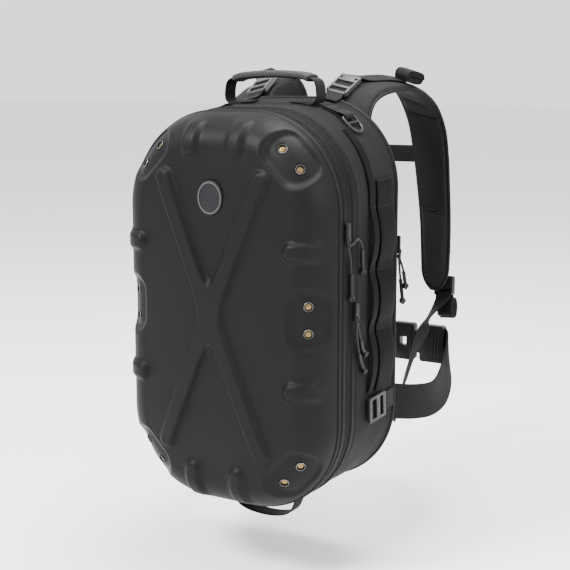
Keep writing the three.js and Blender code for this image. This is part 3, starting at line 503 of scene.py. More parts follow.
def mesh_object(
    name: str,
    points: Array,
    faces: Sequence[Sequence[int]],
    finish: Finish | Sequence[Finish],
    uvs: Array | None = None,
    slots: Sequence[int] | None = None,
    sharp: float = 40.0,
) -> Piece:
    """Make a mesh object from points in the rim frame.

    Args:
        name: The piece's name.
        points: (n, 3) millimetres in the rim frame.
        faces: Corner numbers of each face.
        finish: One finish, or one for each material slot.
        uvs: A surface place in metres for each corner of each face, in the faces' order.
        slots: The material slot of each face.
        sharp: Angle in degrees past which an edge stays sharp.

    Returns:
        The linked object, with its faces pointing out.
    """
    mesh = bpy.data.meshes.new(name)
    mesh.from_pydata(row_frame(points).tolist(), [], [list(f) for f in faces])
    if uvs is not None:
        layer = mesh.uv_layers.new(name="surface")
        layer.data.foreach_set("uv", np.asarray(uvs, np.float32).ravel())
    if slots is not None:
        mesh.polygons.foreach_set("material_index", np.asarray(slots, np.int32))
    made = bmesh.new()
    made.from_mesh(mesh)
    bmesh.ops.recalc_face_normals(made, faces=made.faces)
    made.to_mesh(mesh)
    made.free()
    obj = bpy.data.objects.new(name, mesh)
    bpy.context.scene.collection.objects.link(obj)
    return finish_mesh(obj, [finish] if isinstance(finish, Finish) else finish, sharp)


def grid(
    name: str,
    rows: Array,
    finish: Finish,
    closed_rows: bool = False,
    caps: bool = True,
    sharp: float = 40.0,
) -> Piece:
    """Skin over rows of points, each row a closed section.

    Args:
        name: The piece's name.
        rows: (rows, points, 3) millimetres in the rim frame.
        finish: Its finish.
        closed_rows: True where the last row joins the first, as round the bag.
        caps: True to close both ends of an open run.
        sharp: Angle in degrees past which an edge stays sharp.

    Returns:
        The object, with a surface map in metres: along the rows and round each section.
    """
    count, ring = rows.shape[:2]
    steps = np.linalg.norm(np.diff(rows, axis=0, append=rows[:1]), axis=2).mean(1)
    around = np.linalg.norm(np.diff(rows, axis=1, append=rows[:, :1]), axis=2).mean(0)
    u = np.concatenate([[0], np.cumsum(steps)]) * MM
    v = np.concatenate([[0], np.cumsum(around)]) * MM
    faces, uvs = [], []
    for i in range(count if closed_rows else count - 1):
        k = (i + 1) % count
        for j in range(ring):
            m = (j + 1) % ring
            faces.append((i * ring + j, i * ring + m, k * ring + m, k * ring + j))
            uvs += [(u[i], v[j]), (u[i], v[j + 1]), (u[i + 1], v[j + 1]), (u[i + 1], v[j])]
    if caps and not closed_rows:
        for start in (0, (count - 1) * ring):
            faces.append(tuple(range(start, start + ring)))
            uvs += [(v[j], 0.0) for j in range(ring)]
    return mesh_object(name, rows.reshape(-1, 3), faces, finish, np.array(uvs), sharp=sharp)


def catmull(points: Array, share: float, even: bool = False) -> Array:
    """Return a point of the smooth curve through points.

    Args:
        points: (n, 3) points on the curve.
        share: 0 at the first point, 1 at the last.
        even: True for even steps, and False for steps that follow the points' distances.
    """
    last = len(points) - 1
    place = min(max(share, 0), 1) * last
    i = min(int(place), last - 1)
    t = place - i
    before = points[i - 1] if i > 0 else 2 * points[0] - points[1]
    after = points[i + 2] if i + 2 <= last else 2 * points[last] - points[last - 1]
    p = [before, points[i], points[i + 1], after]
    if even:
        m0, m1 = (p[2] - p[0]) / 2, (p[3] - p[1]) / 2
    else:
        d = [max(float(np.linalg.norm(p[k + 1] - p[k])) ** 0.5, 1e-4) for k in range(3)]
        m0 = ((p[1] - p[0]) / d[0] - (p[2] - p[0]) / (d[0] + d[1]) + (p[2] - p[1]) / d[1]) * d[1]
        m1 = ((p[2] - p[1]) / d[1] - (p[3] - p[1]) / (d[1] + d[2]) + (p[3] - p[2]) / d[2]) * d[1]
    a, b = 2 * p[1] - 2 * p[2] + m0 + m1, -3 * p[1] + 3 * p[2] - 2 * m0 - m1
    return a * t**3 + b * t**2 + m0 * t + p[1]


@dataclass
class Run:
    """The way of a strap: middle points, and the vector from each to one edge."""

    points: Array
    halves: Array

    @classmethod
    def of(cls, rows: Sequence[tuple[Array, Array]]) -> "Run":
        """Make a run from rows of (middle, half)."""
        return cls(np.array([r[0] for r in rows], float), np.array([r[1] for r in rows], float))

    def at(self, share: float) -> tuple[Array, Array, Array]:
        """Return the middle, the half vector and the direction at a share of the run."""
        step = 1e-3
        near = catmull(self.points, max(share - step, 0))
        far = catmull(self.points, min(share + step, 1))
        return catmull(self.points, share), catmull(self.halves, share, even=True), unit(far - near)

    def sections(
        self, count: int, profile: Sequence[tuple[float, float]], start: float = 0, end: float = 1
    ) -> Array:
        """Return sections along the run.

        Args:
            count: Number of steps.
            profile: (across from -1 to 1, out in mm) round the section.
            start: First share of the run.
            end: Last share of the run.
        """
        rows = []
        for share in np.linspace(start, end, count + 1):
            point, half, ahead = self.at(share)
            normal = unit(np.cross(ahead, half))
            rows.append([point + half * across + normal * out for across, out in profile])
        return np.array(rows)

    def line(self, count: int, across: float, out: float, start: float = 0, end: float = 1) -> Array:
        """Return points along the run at one place of its section."""
        return self.sections(count, [(across, out)], start, end)[:, 0]

    def place(self, share: float, across: float, out: float) -> Array:
        """Return one point of the run, across it and off its middle."""
        point, half, ahead = self.at(share)
        return point + half * across + unit(np.cross(ahead, half)) * out

    def between(
        self, one: tuple[float, float], two: tuple[float, float], out: float, count: int = 12
    ) -> Array:
        """Return points from one (share, across) to another."""
        return np.array([self.place(*(vec(*one) + (vec(*two) - vec(*one)) * t), out)
                         for t in np.linspace(0, 1, count)])

    def facing(self, share: float, way: Array) -> float:
        """Return 1 where the run's off side looks along a direction, and -1 where against it."""
        return math.copysign(1, (self.place(share, 0, 1) - self.place(share, 0, 0)).dot(way))


def flat_profile(width: float, thickness: float) -> list[tuple[float, float]]:
    """Return a strap's section: flat faces, a thin rolled selvedge at both edges."""
    h, edge = thickness / 2, 1 - 1.2 * thickness / width
    turn = edge + (1 - edge) * 0.7
    right = [(edge, h), (turn, h * 0.75), (1, 0), (turn, -h * 0.75), (edge, -h)]
    inner = [(0.5, -h), (0, -h), (-0.5, -h)]
    left = [(-a, -o) for a, o in right]
    return right + inner + left + [(-0.5, h), (0, h), (0.5, h)]


def pad_profile(thickness: float, power: float = 3.2, steps: int = 28) -> list[tuple[float, float]]:
    """Return a padded strap's section: full in the middle, thin at its edges."""
    points = []
    for i in range(steps):
        angle = i * math.tau / steps
        c, s = math.cos(angle), math.sin(angle)
        across, out = (math.copysign(abs(value) ** (2 / power), value) for value in (c, s))
        points.append((across, out * thickness / 2))
    return points


def tube(
    name: str, points: Array, radius: float, finish: Finish, sides: int, closed: bool = False
) -> Piece:
    """Make a round tube along points, with its sections kept from twisting.

    Args:
        name: The piece's name.
        points: (n, 3) millimetres in the rim frame.
        radius: The tube's radius.
        finish: Its finish.
        sides: Number of sides.
        closed: True where the last point joins the first.
    """
    if closed:
        ahead = [unit(step) for step in np.roll(points, -1, axis=0) - np.roll(points, 1, axis=0)]
    else:
        line = np.concatenate([points[:1], points, points[-1:]])
        ahead = [unit(step) for step in line[2:] - line[:-2]]
    side = unit(np.cross(ahead[0], vec(0.3, 0.2, 1) if abs(ahead[0][2]) < 0.8 else vec(1, 0.1, 0)))
    rows = []
    for point, way in zip(points, ahead):
        side = unit(side - way * side.dot(way))
        up = np.cross(way, side)
        rows.append([point + radius * (math.cos(a) * side + math.sin(a) * up)
                     for a in np.linspace(0, math.tau, sides, endpoint=False)])
    return grid(name, np.array(rows), finish, closed_rows=closed)


def lathe(
    name: str,
    profile: Sequence[tuple[float, float]],
    seat: Array,
    axis: Array,
    finishes: Sequence[Finish],
    slots: Sequence[int],
    stretch: tuple[float, float] = (1, 1),
    sides: int = 40,
) -> Piece:
    """Turn a profile of (radius, height) round an axis.

    Args:
        name: The piece's name.
        profile: From the middle of one face to the middle of the other.
        seat: Where height 0 is.
        axis: The direction of height.
        finishes: The finishes.
        slots: The finish of each profile step.
        stretch: Scales of the two directions across the axis.
        sides: Number of sides.
    """
    axis = unit(axis)
    one = unit(np.cross(vec(0, 0, 1), axis))
    two = np.cross(axis, one)
    spokes = [math.cos(a) * stretch[0] * one + math.sin(a) * stretch[1] * two
              for a in np.linspace(0, math.tau, sides, endpoint=False)]
    points = [seat + radius * spoke + axis * height for radius, height in profile for spoke in spokes]
    faces, chosen = [], []
    for i in range(len(profile) - 1):
        for j in range(sides):
            k = (j + 1) % sides
            faces.append((i * sides + j, i * sides + k, (i + 1) * sides + k, (i + 1) * sides + j))
            chosen.append(slots[i])
    for start, slot in ((0, slots[0]), ((len(profile) - 1) * sides, slots[-1])):
        faces.append(tuple(range(start, start + sides)))
        chosen.append(slot)
    return mesh_object(name, np.array(points), faces, finishes, slots=chosen)


def applied(obj: Piece) -> Piece:
    """Turn an object with its modifiers into a plain mesh object in place."""
    graph = bpy.context.evaluated_depsgraph_get()
    mesh = bpy.data.meshes.new_from_object(obj.evaluated_get(graph), depsgraph=graph)
    obj.modifiers.clear()
    if obj.type == "MESH":
        obj.data = mesh
        return obj
    name = obj.name
    bpy.data.objects.remove(obj)
    made = bpy.data.objects.new(name, mesh)
    bpy.context.scene.collection.objects.link(made)
    return made


def joined(name: str, parts: Sequence[Piece]) -> Piece:
    """Join objects into the first one and name it."""
    with bpy.context.temp_override(active_object=parts[0], selected_editable_objects=list(parts)):
        bpy.ops.object.join()
    parts[0].name = name
    parts[0].data.name = name
    return parts[0]


def settle(obj: Piece, slot: str, *nodes: str, body: str = ROOT) -> Piece:
    """Let a piece ride on its body and stand for its nodes."""
    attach(obj, body)
    if nodes:
        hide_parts(*nodes)
    log.info("%s: %d faces", obj.name, len(obj.data.polygons))
    return obj


# ---- What repeats: stitches and zip teeth


class Unit(Enum):
    """What a repeat tree sets along a line: its size along, across and out in mm, and its pitch."""

    STITCH = ((2.3, 0.55, 0.55), 3.2)
    TACK = ((1.5, 0.5, 0.5), 1.3)
    TOOTH = ((1.15, 3.1, 1.5), 2.1)


class Repeats:
    """Rows of stitches and zip teeth, set along lines by Geometry Nodes."""

    def __init__(self) -> None:
        """Build the tree once for each unit."""
        self.trees = {unit_: self.tree(unit_) for unit_ in Unit}

    def tree(self, unit_: Unit) -> bpy.types.GeometryNodeTree:
        """Build the tree of one unit, with named inputs for its pitch, size and finish."""
        tree = bpy.data.node_groups.new(f"repeat_{unit_.name.lower()}", "GeometryNodeTree")
        sockets = tree.interface
        wanted = (("Line", "Geometry"), ("Pitch", "Float"), ("Size", "Vector"), ("Finish", "Material"))
        for name, kind in wanted:
            sockets.new_socket(name=name, in_out="INPUT", socket_type=f"NodeSocket{kind}")
        sockets.new_socket(name="Geometry", in_out="OUTPUT", socket_type="NodeSocketGeometry")
        given = add_node(tree, "NodeGroupInput").outputs
        curve = add_node(
            tree, "GeometryNodeResampleCurve", {"mode": "LENGTH"}, Curve=given["Line"], Length=given["Pitch"]
        )
        ahead = add_node(tree, "GeometryNodeInputTangent")
        turned = add_node(
            tree, "FunctionNodeAlignRotationToVector",
            {"axis": "X", "pivot_axis": "Y" if unit_ is Unit.TOOTH else "AUTO"}, Vector=ahead.outputs[0],
        )
        if unit_ is Unit.TOOTH:
            shape = add_node(tree, "GeometryNodeMeshCube", None, Size=given["Size"])
            scale: Any = (1.0, 1.0, 1.0)
        else:
            shape = add_node(tree, "GeometryNodeMeshIcoSphere", None, Radius=0.5, Subdivisions=1)
            scale = given["Size"]
        placed = add_node(
            tree, "GeometryNodeInstanceOnPoints", None, Points=curve.outputs[0],
            Instance=shape.outputs["Mesh"], Rotation=turned.outputs[0], Scale=scale,
        )
        real = add_node(tree, "GeometryNodeRealizeInstances", None, i0=placed.outputs[0])
        dressed = add_node(
            tree, "GeometryNodeSetMaterial", None, i0=real.outputs[0], Material=given["Finish"]
        )
        add_node(tree, "NodeGroupOutput", None, i0=dressed.outputs[0])
        return tree

    def along(self, name: str, line: Array, unit_: Unit, finish: Finish, closed: bool = False) -> Piece:
        """Set a unit along a line.

        Args:
            name: The piece's name.
            line: (n, 3) millimetres in the rim frame.
            unit_: What is set along it.
            finish: Its finish.
            closed: True where the line closes on itself.

        Returns:
            A plain mesh object.
        """
        curve = bpy.data.curves.new(name, "CURVE")
        curve.dimensions = "3D"
        spline = curve.splines.new("POLY")
        spline.points.add(len(line) - 1)
        places = np.c_[row_frame(line), np.ones(len(line))]
        spline.points.foreach_set("co", places.astype(np.float32).ravel())
        spline.use_cyclic_u = closed
        obj = bpy.data.objects.new(name, curve)
        bpy.context.scene.collection.objects.link(obj)
        modifier = obj.modifiers.new("repeat", "NODES")
        modifier.node_group = self.trees[unit_]
        size, pitch = unit_.value
        wanted = {"Pitch": pitch * MM, "Size": [s * MM for s in size], "Finish": finish.build()}
        for item in modifier.node_group.interface.items_tree:
            if item.name in wanted and item.in_out == "INPUT":
                modifier[item.identifier] = wanted[item.name]
        return applied(obj)

    def rows(
        self,
        name: str,
        lines: Sequence[Array],
        slot: str,
        unit_: Unit = Unit.STITCH,
        finish: Finish = THREAD,
        closed: bool = False,
    ) -> Piece:
        """Set a unit along several lines and settle them as one piece."""
        parts = [self.along(f"{name}_{i}", line, unit_, finish, closed) for i, line in enumerate(lines)]
        return settle(joined(name, parts), slot)


# ---- Camera, light and floor


@dataclass
class Studio:
    """A pale floor, soft light and the photo's camera."""

    eye: tuple[float, float, float] = (0.8404, -1.4374, 0.2824)
    azimuth: float = 31.0
    elevation: float = 9.6
    lens: float = 75.79
    floor_height: float = -0.36

    def camera(self) -> None:
        """Set the camera at the photo's angle."""
        a, e = math.radians(self.azimuth), math.radians(self.elevation)
        ahead = Vector((-math.sin(a) * math.cos(e), math.cos(a) * math.cos(e), -math.sin(e)))
        data = bpy.data.cameras.new("camera")
        data.lens, data.sensor_width = self.lens, 36.0
        camera = bpy.data.objects.new("camera", data)
        camera.location = self.eye
        camera.rotation_euler = ahead.to_track_quat("-Z", "Y").to_euler()
        bpy.context.scene.collection.objects.link(camera)
        bpy.context.scene.camera = camera

    def floor(self) -> None:
        """Lay the plain pale floor."""
        mesh = bpy.data.meshes.new("floor")
        r, z = 30.0, self.floor_height
        mesh.from_pydata([(-r, -r, z), (r, -r, z), (r, r, z), (-r, r, z)], [], [(0, 1, 2, 3)])
        floor = bpy.data.objects.new("floor", mesh)
        bpy.context.scene.collection.objects.link(floor)
        material = bpy.data.materials.new("pale_paper_floor")
        material.use_nodes = True
        shader = material.node_tree.nodes["Principled BSDF"]
        shader.inputs["Base Color"].default_value = linear("#f4f4f4")
        shader.inputs["Roughness"].default_value = 0.9
        mesh.materials.append(material)

    def light(self, name: str, place: tuple, target: tuple, size: float, power: float) -> None:
        """Hang one soft box that faces a point."""
        data = bpy.data.lights.new(name, "AREA")
        data.shape, data.size, data.size_y, data.energy = "RECTANGLE", size, size, power
        lamp = bpy.data.objects.new(name, data)
        lamp.location = place
        lamp.rotation_euler = (Vector(target) - Vector(place)).to_track_quat("-Z", "Y").to_euler()
        bpy.context.scene.collection.objects.link(lamp)

    def lights(self) -> None:
        """Set the room's even light and three soft boxes."""
        world = bpy.data.worlds.new("white_room")
        bpy.context.scene.world = world
        world.use_nodes = True
        back = world.node_tree.nodes["Background"]
        back.inputs["Color"].default_value = linear("#ffffff")
        back.inputs["Strength"].default_value = 1.7
        self.light("key", (-0.9, -2.2, 2.3), (0, -0.1, 0.05), 0.9, 240)
        self.light("top", (0.3, 0.2, 2.4), (0, 0, 0.1), 1.1, 130)
        self.light("side", (2.4, -0.3, 0.9), (0, 0, 0), 1.0, 40)


# ---- The moulded shell


@dataclass
class FrontShell:
    """The moulded front: a dome with crossed ribs, bumps, eyelet recesses and the badge."""

    depth: float = 54
    crown: float = 6
    wall: float = 4.5
    shoulder: float = 46
    rib_height: float = 7
    rib_half_width: float = 13.5
    rib_reach: tuple[float, float] = (72, 171)
    rib_centre_z: float = 3
    rib_fillet: float = 8
    bump_height: float = 6.5
    bump_half_width: float = 15
    recess_depth: float = 8.5
    recess_half_width: float = 25
    well_depth: float = 4.4
    well_radii: tuple[float, float] = (4.3, 5.7)
    badge_half: tuple[float, float] = (19, 22)
    badge_share: float = 0.59
    badge_seat: float = 1.2
    ring_points: int = 504
    ring_count: int = 138
    bumps: tuple = (
        (0.22, 0.83, 0.22, 0.96), (0.75, 0.35, 0.95, 0.35), (0.75, -0.325, 0.95, -0.325),
        (0.22, -0.8, 0.22, -0.94))
    eyelets: tuple = (
        ("upper", (0.6, 0.832, 0.758, 0.738)), ("middle", (0.845, 0.088, 0.845, -0.045)),
        ("lower", (0.773, -0.71, 0.625, -0.805)))

    def ends(self, row: Sequence[float]) -> tuple[Array, Array]:
        """Return the two ends of a table row, which holds shares of the half sizes."""
        size = vec(BAG.front_half_width, BAG.front_half_height)
        return vec(*row[:2]) * size, vec(*row[2:]) * size

    def inset(self, x: Array, z: Array) -> Array:
        """Return the distance in from the rim."""
        return rounded_inset(x, z, BAG.front_half_width, BAG.front_half_height, BAG.front_corner)

    def distance(self, x: Array, z: Array, start: Array, end: Array) -> Array:
        """Return the distance from a stretch between two points."""
        way = end - start
        share = np.clip(((x - start[0]) * way[0] + (z - start[1]) * way[1]) / way.dot(way), 0, 1)
        return np.hypot(x - start[0] - share * way[0], z - start[1] - share * way[1])

    def relief(self, x: Array, z: Array) -> Array:
        """Return the height of ribs, bumps and recesses over the dome."""
        across, up = np.abs(x), np.abs(z - self.rib_centre_z)
        rim = self.inset(x, z)
        fade, cut = smooth(3, 15, rim), smooth(0.5, 7, rim)
        own = self.distance(across, up, vec(0, 0), vec(*self.rib_reach))
        other = self.distance(-across, up, vec(0, 0), vec(*self.rib_reach))
        fillet = self.rib_fillet
        rib = -fillet * np.log(np.exp(-own / fillet) + np.exp(-other / fillet))
        height = self.rib_height * (1 - smooth(self.rib_half_width * 0.55, self.rib_half_width, rib))
        for row in self.bumps:
            near = self.distance(across, z, *self.ends(row))
            bump = 1 - smooth(self.bump_half_width * 0.4, self.bump_half_width, near)
            height = np.maximum(height, self.bump_height * fade * bump)
        for _, row in self.eyelets:
            near = self.distance(across, z, *self.ends(row))
            recess = 1 - smooth(self.recess_half_width * 0.58, self.recess_half_width, near)
            height = height - self.recess_depth * cut * recess
        return height

    def dome(self, x: Array, z: Array) -> Array:
        """Return the dome's depth under the relief."""
        rim = np.maximum(self.inset(x, z), 0)
        share = np.minimum(rim / self.shoulder, 1)
        middle = np.clip((rim - self.shoulder) / (BAG.front_half_width - self.shoulder), 0, 1)
        return ((self.depth - self.crown) * (1 - (1 - share) ** 2.2) ** 0.74
                + self.crown * (1 - (1 - middle) ** 2))

    def height(self, x: Array, z: Array) -> Array:
        """Return the y of the shell's outer face."""
        return -BAG.shell_edge - GAP - self.dome(x, z) - self.relief(x, z)

    def seat(self, x: float, z: float) -> Array:
        """Return the point of the smooth shell over a place of the rim's plane."""
        return vec(x, float(self.height(vec(x), vec(z))[0]), z)

    def normal(self, x: float, z: float, step: float = 4.0) -> Array:
        """Return the outward normal of the smooth shell."""
        y = self.height(vec(x + step, x - step, x, x), vec(z, z, z + step, z - step))
        return unit(vec((y[0] - y[1]) / (2 * step), -1, (y[2] - y[3]) / (2 * step)))

    def eyelet_places(self) -> list[tuple[str, float, float]]:
        """Return each eyelet's node name and place."""
        places = []
        for level, row in self.eyelets:
            for number, point in enumerate(self.ends(row), 1):
                for word, side in (("right", 1), ("left", -1)):
                    places.append((f"eyelet_{level}_{word}_{number}", point[0] * side, point[1]))
        return places

    def outer(self, x: Array, z: Array) -> Array:
        """Return the outer face with wells for the eyelets and a seat for the badge."""
        y = self.height(x, z)
        face = np.stack([x, y, z], -1)
        for _, eyelet_x, eyelet_z in self.eyelet_places():
            normal = self.normal(eyelet_x, eyelet_z)
            away = face - self.seat(eyelet_x, eyelet_z)
            along = away @ normal
            near = np.sqrt(np.maximum((away**2).sum(-1) - along**2, 0)) + np.maximum(np.abs(along) - 12, 0)
            y = y + self.well_depth / abs(normal[1]) * (1 - smooth(*self.well_radii, near))
        badge_z = BAG.front_half_height * self.badge_share
        oval = np.hypot(x / self.badge_half[0], (z - badge_z) / self.badge_half[1])
        return y + self.badge_seat * (1 - smooth(0.98, 1.05, oval))

    def shell(self) -> Piece:
        """Build the shell as rings from the rim to the middle, with its wall and lip."""
        rim = BAG.ring(0, 0, self.ring_points)
        inner = BAG.ring(0, -self.wall, self.ring_points)
        lip_y = -BAG.shell_edge - GAP
        rings = []
        for share in (0.35, 0.6, 0.78, 0.9, 0.985):
            x, z = inner[:, 0] * share, inner[:, 2] * share
            deep = self.dome(x, z) + np.minimum(self.relief(x, z), 0) - self.wall * 1.5
            rings.append(np.stack([x, lip_y - np.maximum(deep, 0), z], 1))
        lip = inner.copy()
        lip[:, 1] = lip_y
        rings.append(lip)
        for share in 1 - np.linspace(0, 1, self.ring_count) ** 1.18 * 0.992:
            x, z = rim[:, 0] * share, rim[:, 2] * share
            rings.append(np.stack([x, self.outer(x, z), z], 1))
        return grid("shell_cover", np.array(rings), SHELL, sharp=70)

    def badge(self) -> Piece:
        """Build the bare oval badge with its raised rim."""
        profile = [
            (0.02, -2), (1.0, -2), (1.0, 0.9), (0.985, 1.5), (0.95, 1.75), (0.905, 1.75), (0.895, 1.95),
            (0.84, 1.95), (0.83, 1.6), (0.815, 0.9), (0.8, 0.7), (0.02, 0.9)]
        slots = [0, 0, 0, 0, 0, 1, 1, 1, 0, 0, 0]
        seat = self.seat(0, BAG.front_half_height * self.badge_share)
        return lathe(
            "badge_face", profile, seat, vec(0, -1, 0), [RUBBER, TRIM], slots, self.badge_half, 64)

    def eyelet(self, node: str, x: float, z: float) -> Piece:
        """Build one blind eyelet: plated rolled rim, a dark wall that stands as painted shade in its bore,
        brass cap in its bottom.
        """
        profile = [
            (0.05, -3.6), (5.3, -3.6), (5.5, -0.5), (6.0, -0.1), (6.1, 0.4), (5.75, 0.8), (5.35, 0.75),
            (5.1, 0.2), (5.0, -0.6), (4.9, -1.6), (4.2, -1.8), (4.0, -1.2), (3.2, -0.8), (1.8, -0.6),
            (0.05, -0.55)]
        # slot 1, the dark painted zinc, lies on the wall inside the bore as painted shade
        slots = [1, 1, 1, 0, 0, 0, 1, 1, 1, 1, 2, 2, 2, 2]
        finishes = [NICKEL, PAINTED, BRASS]
        return lathe(
            f"{node}_ring", profile, self.seat(x, z), self.normal(x, z), finishes, slots, sides=32)

    def build(self) -> None:
        """Build the shell, its badge and its eyelets."""
        settle(self.shell(), "shell", "front_shell")
        settle(self.badge(), "badge", "badge")
        for node, x, z in self.eyelet_places():
            settle(self.eyelet(node, x, z), "eyelets", node)


# ---- The fabric body


@dataclass
class Body:
    """Piping, zip bands, gusset and back panel."""

    repeats: Repeats
    wall: float = 2.4
    ring_points: int = 384
    tooth_offset: float = 0.62
    panel_inset: float = 1.6
    pad_thickness: float = 6.0

    def band(
        self,
        name: str,
        profile: Sequence[tuple[float, float]],
        finish: Finish,
        soft: Callable[[Array, float], Array] | None = None,
    ) -> Piece:
        """Skin a section of (y, out) round the bag.

        Args:
            name: The piece's name.
            profile: The section, closed on itself.
            finish: Its finish.
            soft: A function of the ring's points and its y that gives an added distance out.
        """
        rings = []
        for y, out in profile:
            ring = BAG.ring(y, out, self.ring_points)
            if soft is not None and out > -self.wall * 0.8:
                way = BAG.ring(y, out + 1, self.ring_points) - ring
                ring = ring + way * soft(ring, y)[:, None]
            rings.append(ring)
        return grid(name, np.array(rings).transpose(1, 0, 2), finish, closed_rows=True, sharp=50)

    def piping(self, name: str, y: float) -> Piece:
        """Build a corded piping: a round welt with the flat of its tape below."""
        radius = BAG.piping
        section = [(y + radius * math.cos(a), radius * 0.95 * math.sin(a) - 0.1)
                   for a in np.linspace(0, math.tau, 14, endpoint=False)]
        return self.band(name, section, BINDING)

    def zip_band(self, name: str, start: float, end: float, coil: float) -> Piece:
        """Build a zip's band: cloth, two folded tapes and the groove of the coil."""
        edge = [(0, -self.wall), (0, 0), (0.7, 0.55), (2.0, 0.6), (2.6, 0.1)]
        tape = [(5.2, 0.15), (4.7, 0.9), (4.0, 1.75), (2.4, 1.75), (1.9, 0.9), (1.7, 0.2)]
        profile = [(start + y, out) for y, out in edge] + [(coil - y, out) for y, out in tape]
        profile += [(coil + y, out) for y, out in reversed(tape)]
        profile += [(end - y, out) for y, out in reversed(edge)]
        return self.band(name, profile, TAPE)

    def gusset(self) -> Piece:
        """Build the side cloth, which sags a little between its seams."""
        start, end = BAG.rear_zip_end + GAP, BAG.gusset_end
        edge = [(0, -self.wall), (0, 0.05), (0.8, 0.5), (2.2, 0.5), (2.8, 0)]
        profile = [(start + y, out) for y, out in edge]
        profile += [(float(y), 0.0) for y in np.linspace(start + 3.2, end - 3.2, 22)]
        profile += [(end - y, out) for y, out in reversed(edge)]

        def soft(ring: Array, y: float) -> Array:
            """Return how far out the cloth lies: a sag with soft, crossing waves."""
            inside = smooth(start + 2, start + 12, vec(y))[0] * (1 - smooth(end - 12, end - 2, vec(y))[0])
            x, z = ring[:, 0], ring[:, 2]
            wave = np.sin(z / 23 + y / 17) * np.sin(x / 31 - y / 29) + 0.6 * np.sin(z / 11 - y / 13 + x / 19)
            return inside * (-0.55 + 0.3 * wave)

        return self.band("gusset_cloth", profile, CLOTH, soft)

    def teeth(self) -> None:
        """Set both zips' teeth in two rows that mesh."""
        lines = []
        for coil in (BAG.front_coil_y, BAG.rear_coil_y):
            for side in (-1, 1):
                ring = BAG.ring(coil + side * self.tooth_offset, 0.95, 720)
                lines.append(np.roll(ring, 1 if side > 0 else 0, axis=0))
        self.repeats.rows("zip_teeth", lines, "body_fabric", Unit.TOOTH, COIL, closed=True)

    def stitching(self) -> None:
        """Sew the lines of thread beside the seams."""
        bands = (
            (0, BAG.front_zip_end, 1.35, 0.75),
            (BAG.front_zip_end + GAP, BAG.rear_zip_end, 1.35, 0.75),
            (BAG.rear_zip_end + GAP, BAG.gusset_end, 1.5, 0.65))
        lines = [BAG.ring(y, out, self.ring_points)
                 for start, end, edge, out in bands for y in (start + edge, end - edge)]
        self.repeats.rows("seam_stitches", lines, "body_fabric", closed=True)

    def panel_face(self, x: Array, z: Array) -> Array:
        """Return the panel's face to the wearer: cloth that rounds to the seam, with a channel."""
        half_width, half_height, corner, rise = BAG.at(BAG.gusset_end)
        rim = rounded_inset(x, z - rise, half_width, half_height, corner) - self.panel_inset
        edge = np.clip(rim / 26, 0, 1)
        full = BAG.panel_back - 3.2
        y = BAG.panel_front + 1.5 + (full - BAG.panel_front - 1.5) * np.sqrt(1 - (1 - edge) ** 2)
        channel = 1 - smooth(5, 16, np.abs(x))
        return y - 2.6 * channel * smooth(20, 60, rim)

    def back_panel(self) -> Piece:
        """Build the back panel's mesh-covered board."""
        rim = BAG.ring(BAG.gusset_end, -self.panel_inset)
        centre = vec(0, 0, BAG.back_rise)
        rings = []
        for share in (0.2, 0.6, 1.0):
            ring = (rim - centre) * share + centre
            ring[:, 1] = BAG.panel_front
            rings.append(ring)
        for share in 1 - np.linspace(0, 1, 46) ** 1.25 * 0.99:
            ring = (rim - centre) * share + centre
            ring[:, 1] = self.panel_face(ring[:, 0], ring[:, 2])
            rings.append(ring)
        return grid("back_panel_cover", np.array(rings), SPACER, sharp=60)

    def pad(self, number: int, x: float, z: float, width: float, height: float) -> Piece:
        """Build one raised pad of the back as a thin cushion for the simulation."""
        angles = np.linspace(0, math.tau, 72, endpoint=False)
        across, up = (np.copysign(np.abs(v) ** 0.32, v) for v in (np.cos(angles), np.sin(angles)))
        rows = []
        for share, depth in ((0.86, 0.0), (1.0, 0.22), (1.0, 0.6), (0.93, 0.9), (0.8, 1.0)):
            y = BAG.panel_back - 5.2 + depth * self.pad_thickness * 0.72
            ring = (x + across * width / 2 * share, np.full(len(angles), y), z + up * height / 2 * share)
            rows.append(np.stack(ring, 1))
        return grid(f"back_pad_{number}", np.array(rows), SPACER)

    def build(self) -> None:
        """Build the whole body."""
        front, rear = BAG.front_zip_end, BAG.rear_zip_end
        settle(self.piping("shell_welt", -BAG.piping - GAP), "body_fabric", "shell_piping")
        front_zip = self.zip_band("front_zip", 0, front, BAG.front_coil_y)
        settle(front_zip, "body_fabric", "front_zip_band")
        rear_zip = self.zip_band("rear_zip", front + GAP, rear, BAG.rear_coil_y)
        settle(rear_zip, "body_fabric", "rear_zip_band")
        settle(self.gusset(), "body_fabric", "gusset")
        settle(self.piping("back_welt", BAG.back_piping_y), "body_fabric", "back_piping")
        settle(self.back_panel(), "body_fabric", "back_panel")
        self.teeth()
        self.stitching()
        places = [(side * 68, z) for z in (150, 12, -126) for side in (1, -1)]
        for number, (x, z) in enumerate(places, 1):
            pad = puff(self.pad(number, x, z, 88 if abs(z) < 100 else 82, 118), 5.0, 2.2)
            settle(pad, "body_fabric")


PUFF_PRESSURE = 4.0
PUFF_STIFFNESS = 25
PUFF_FRAMES = 20


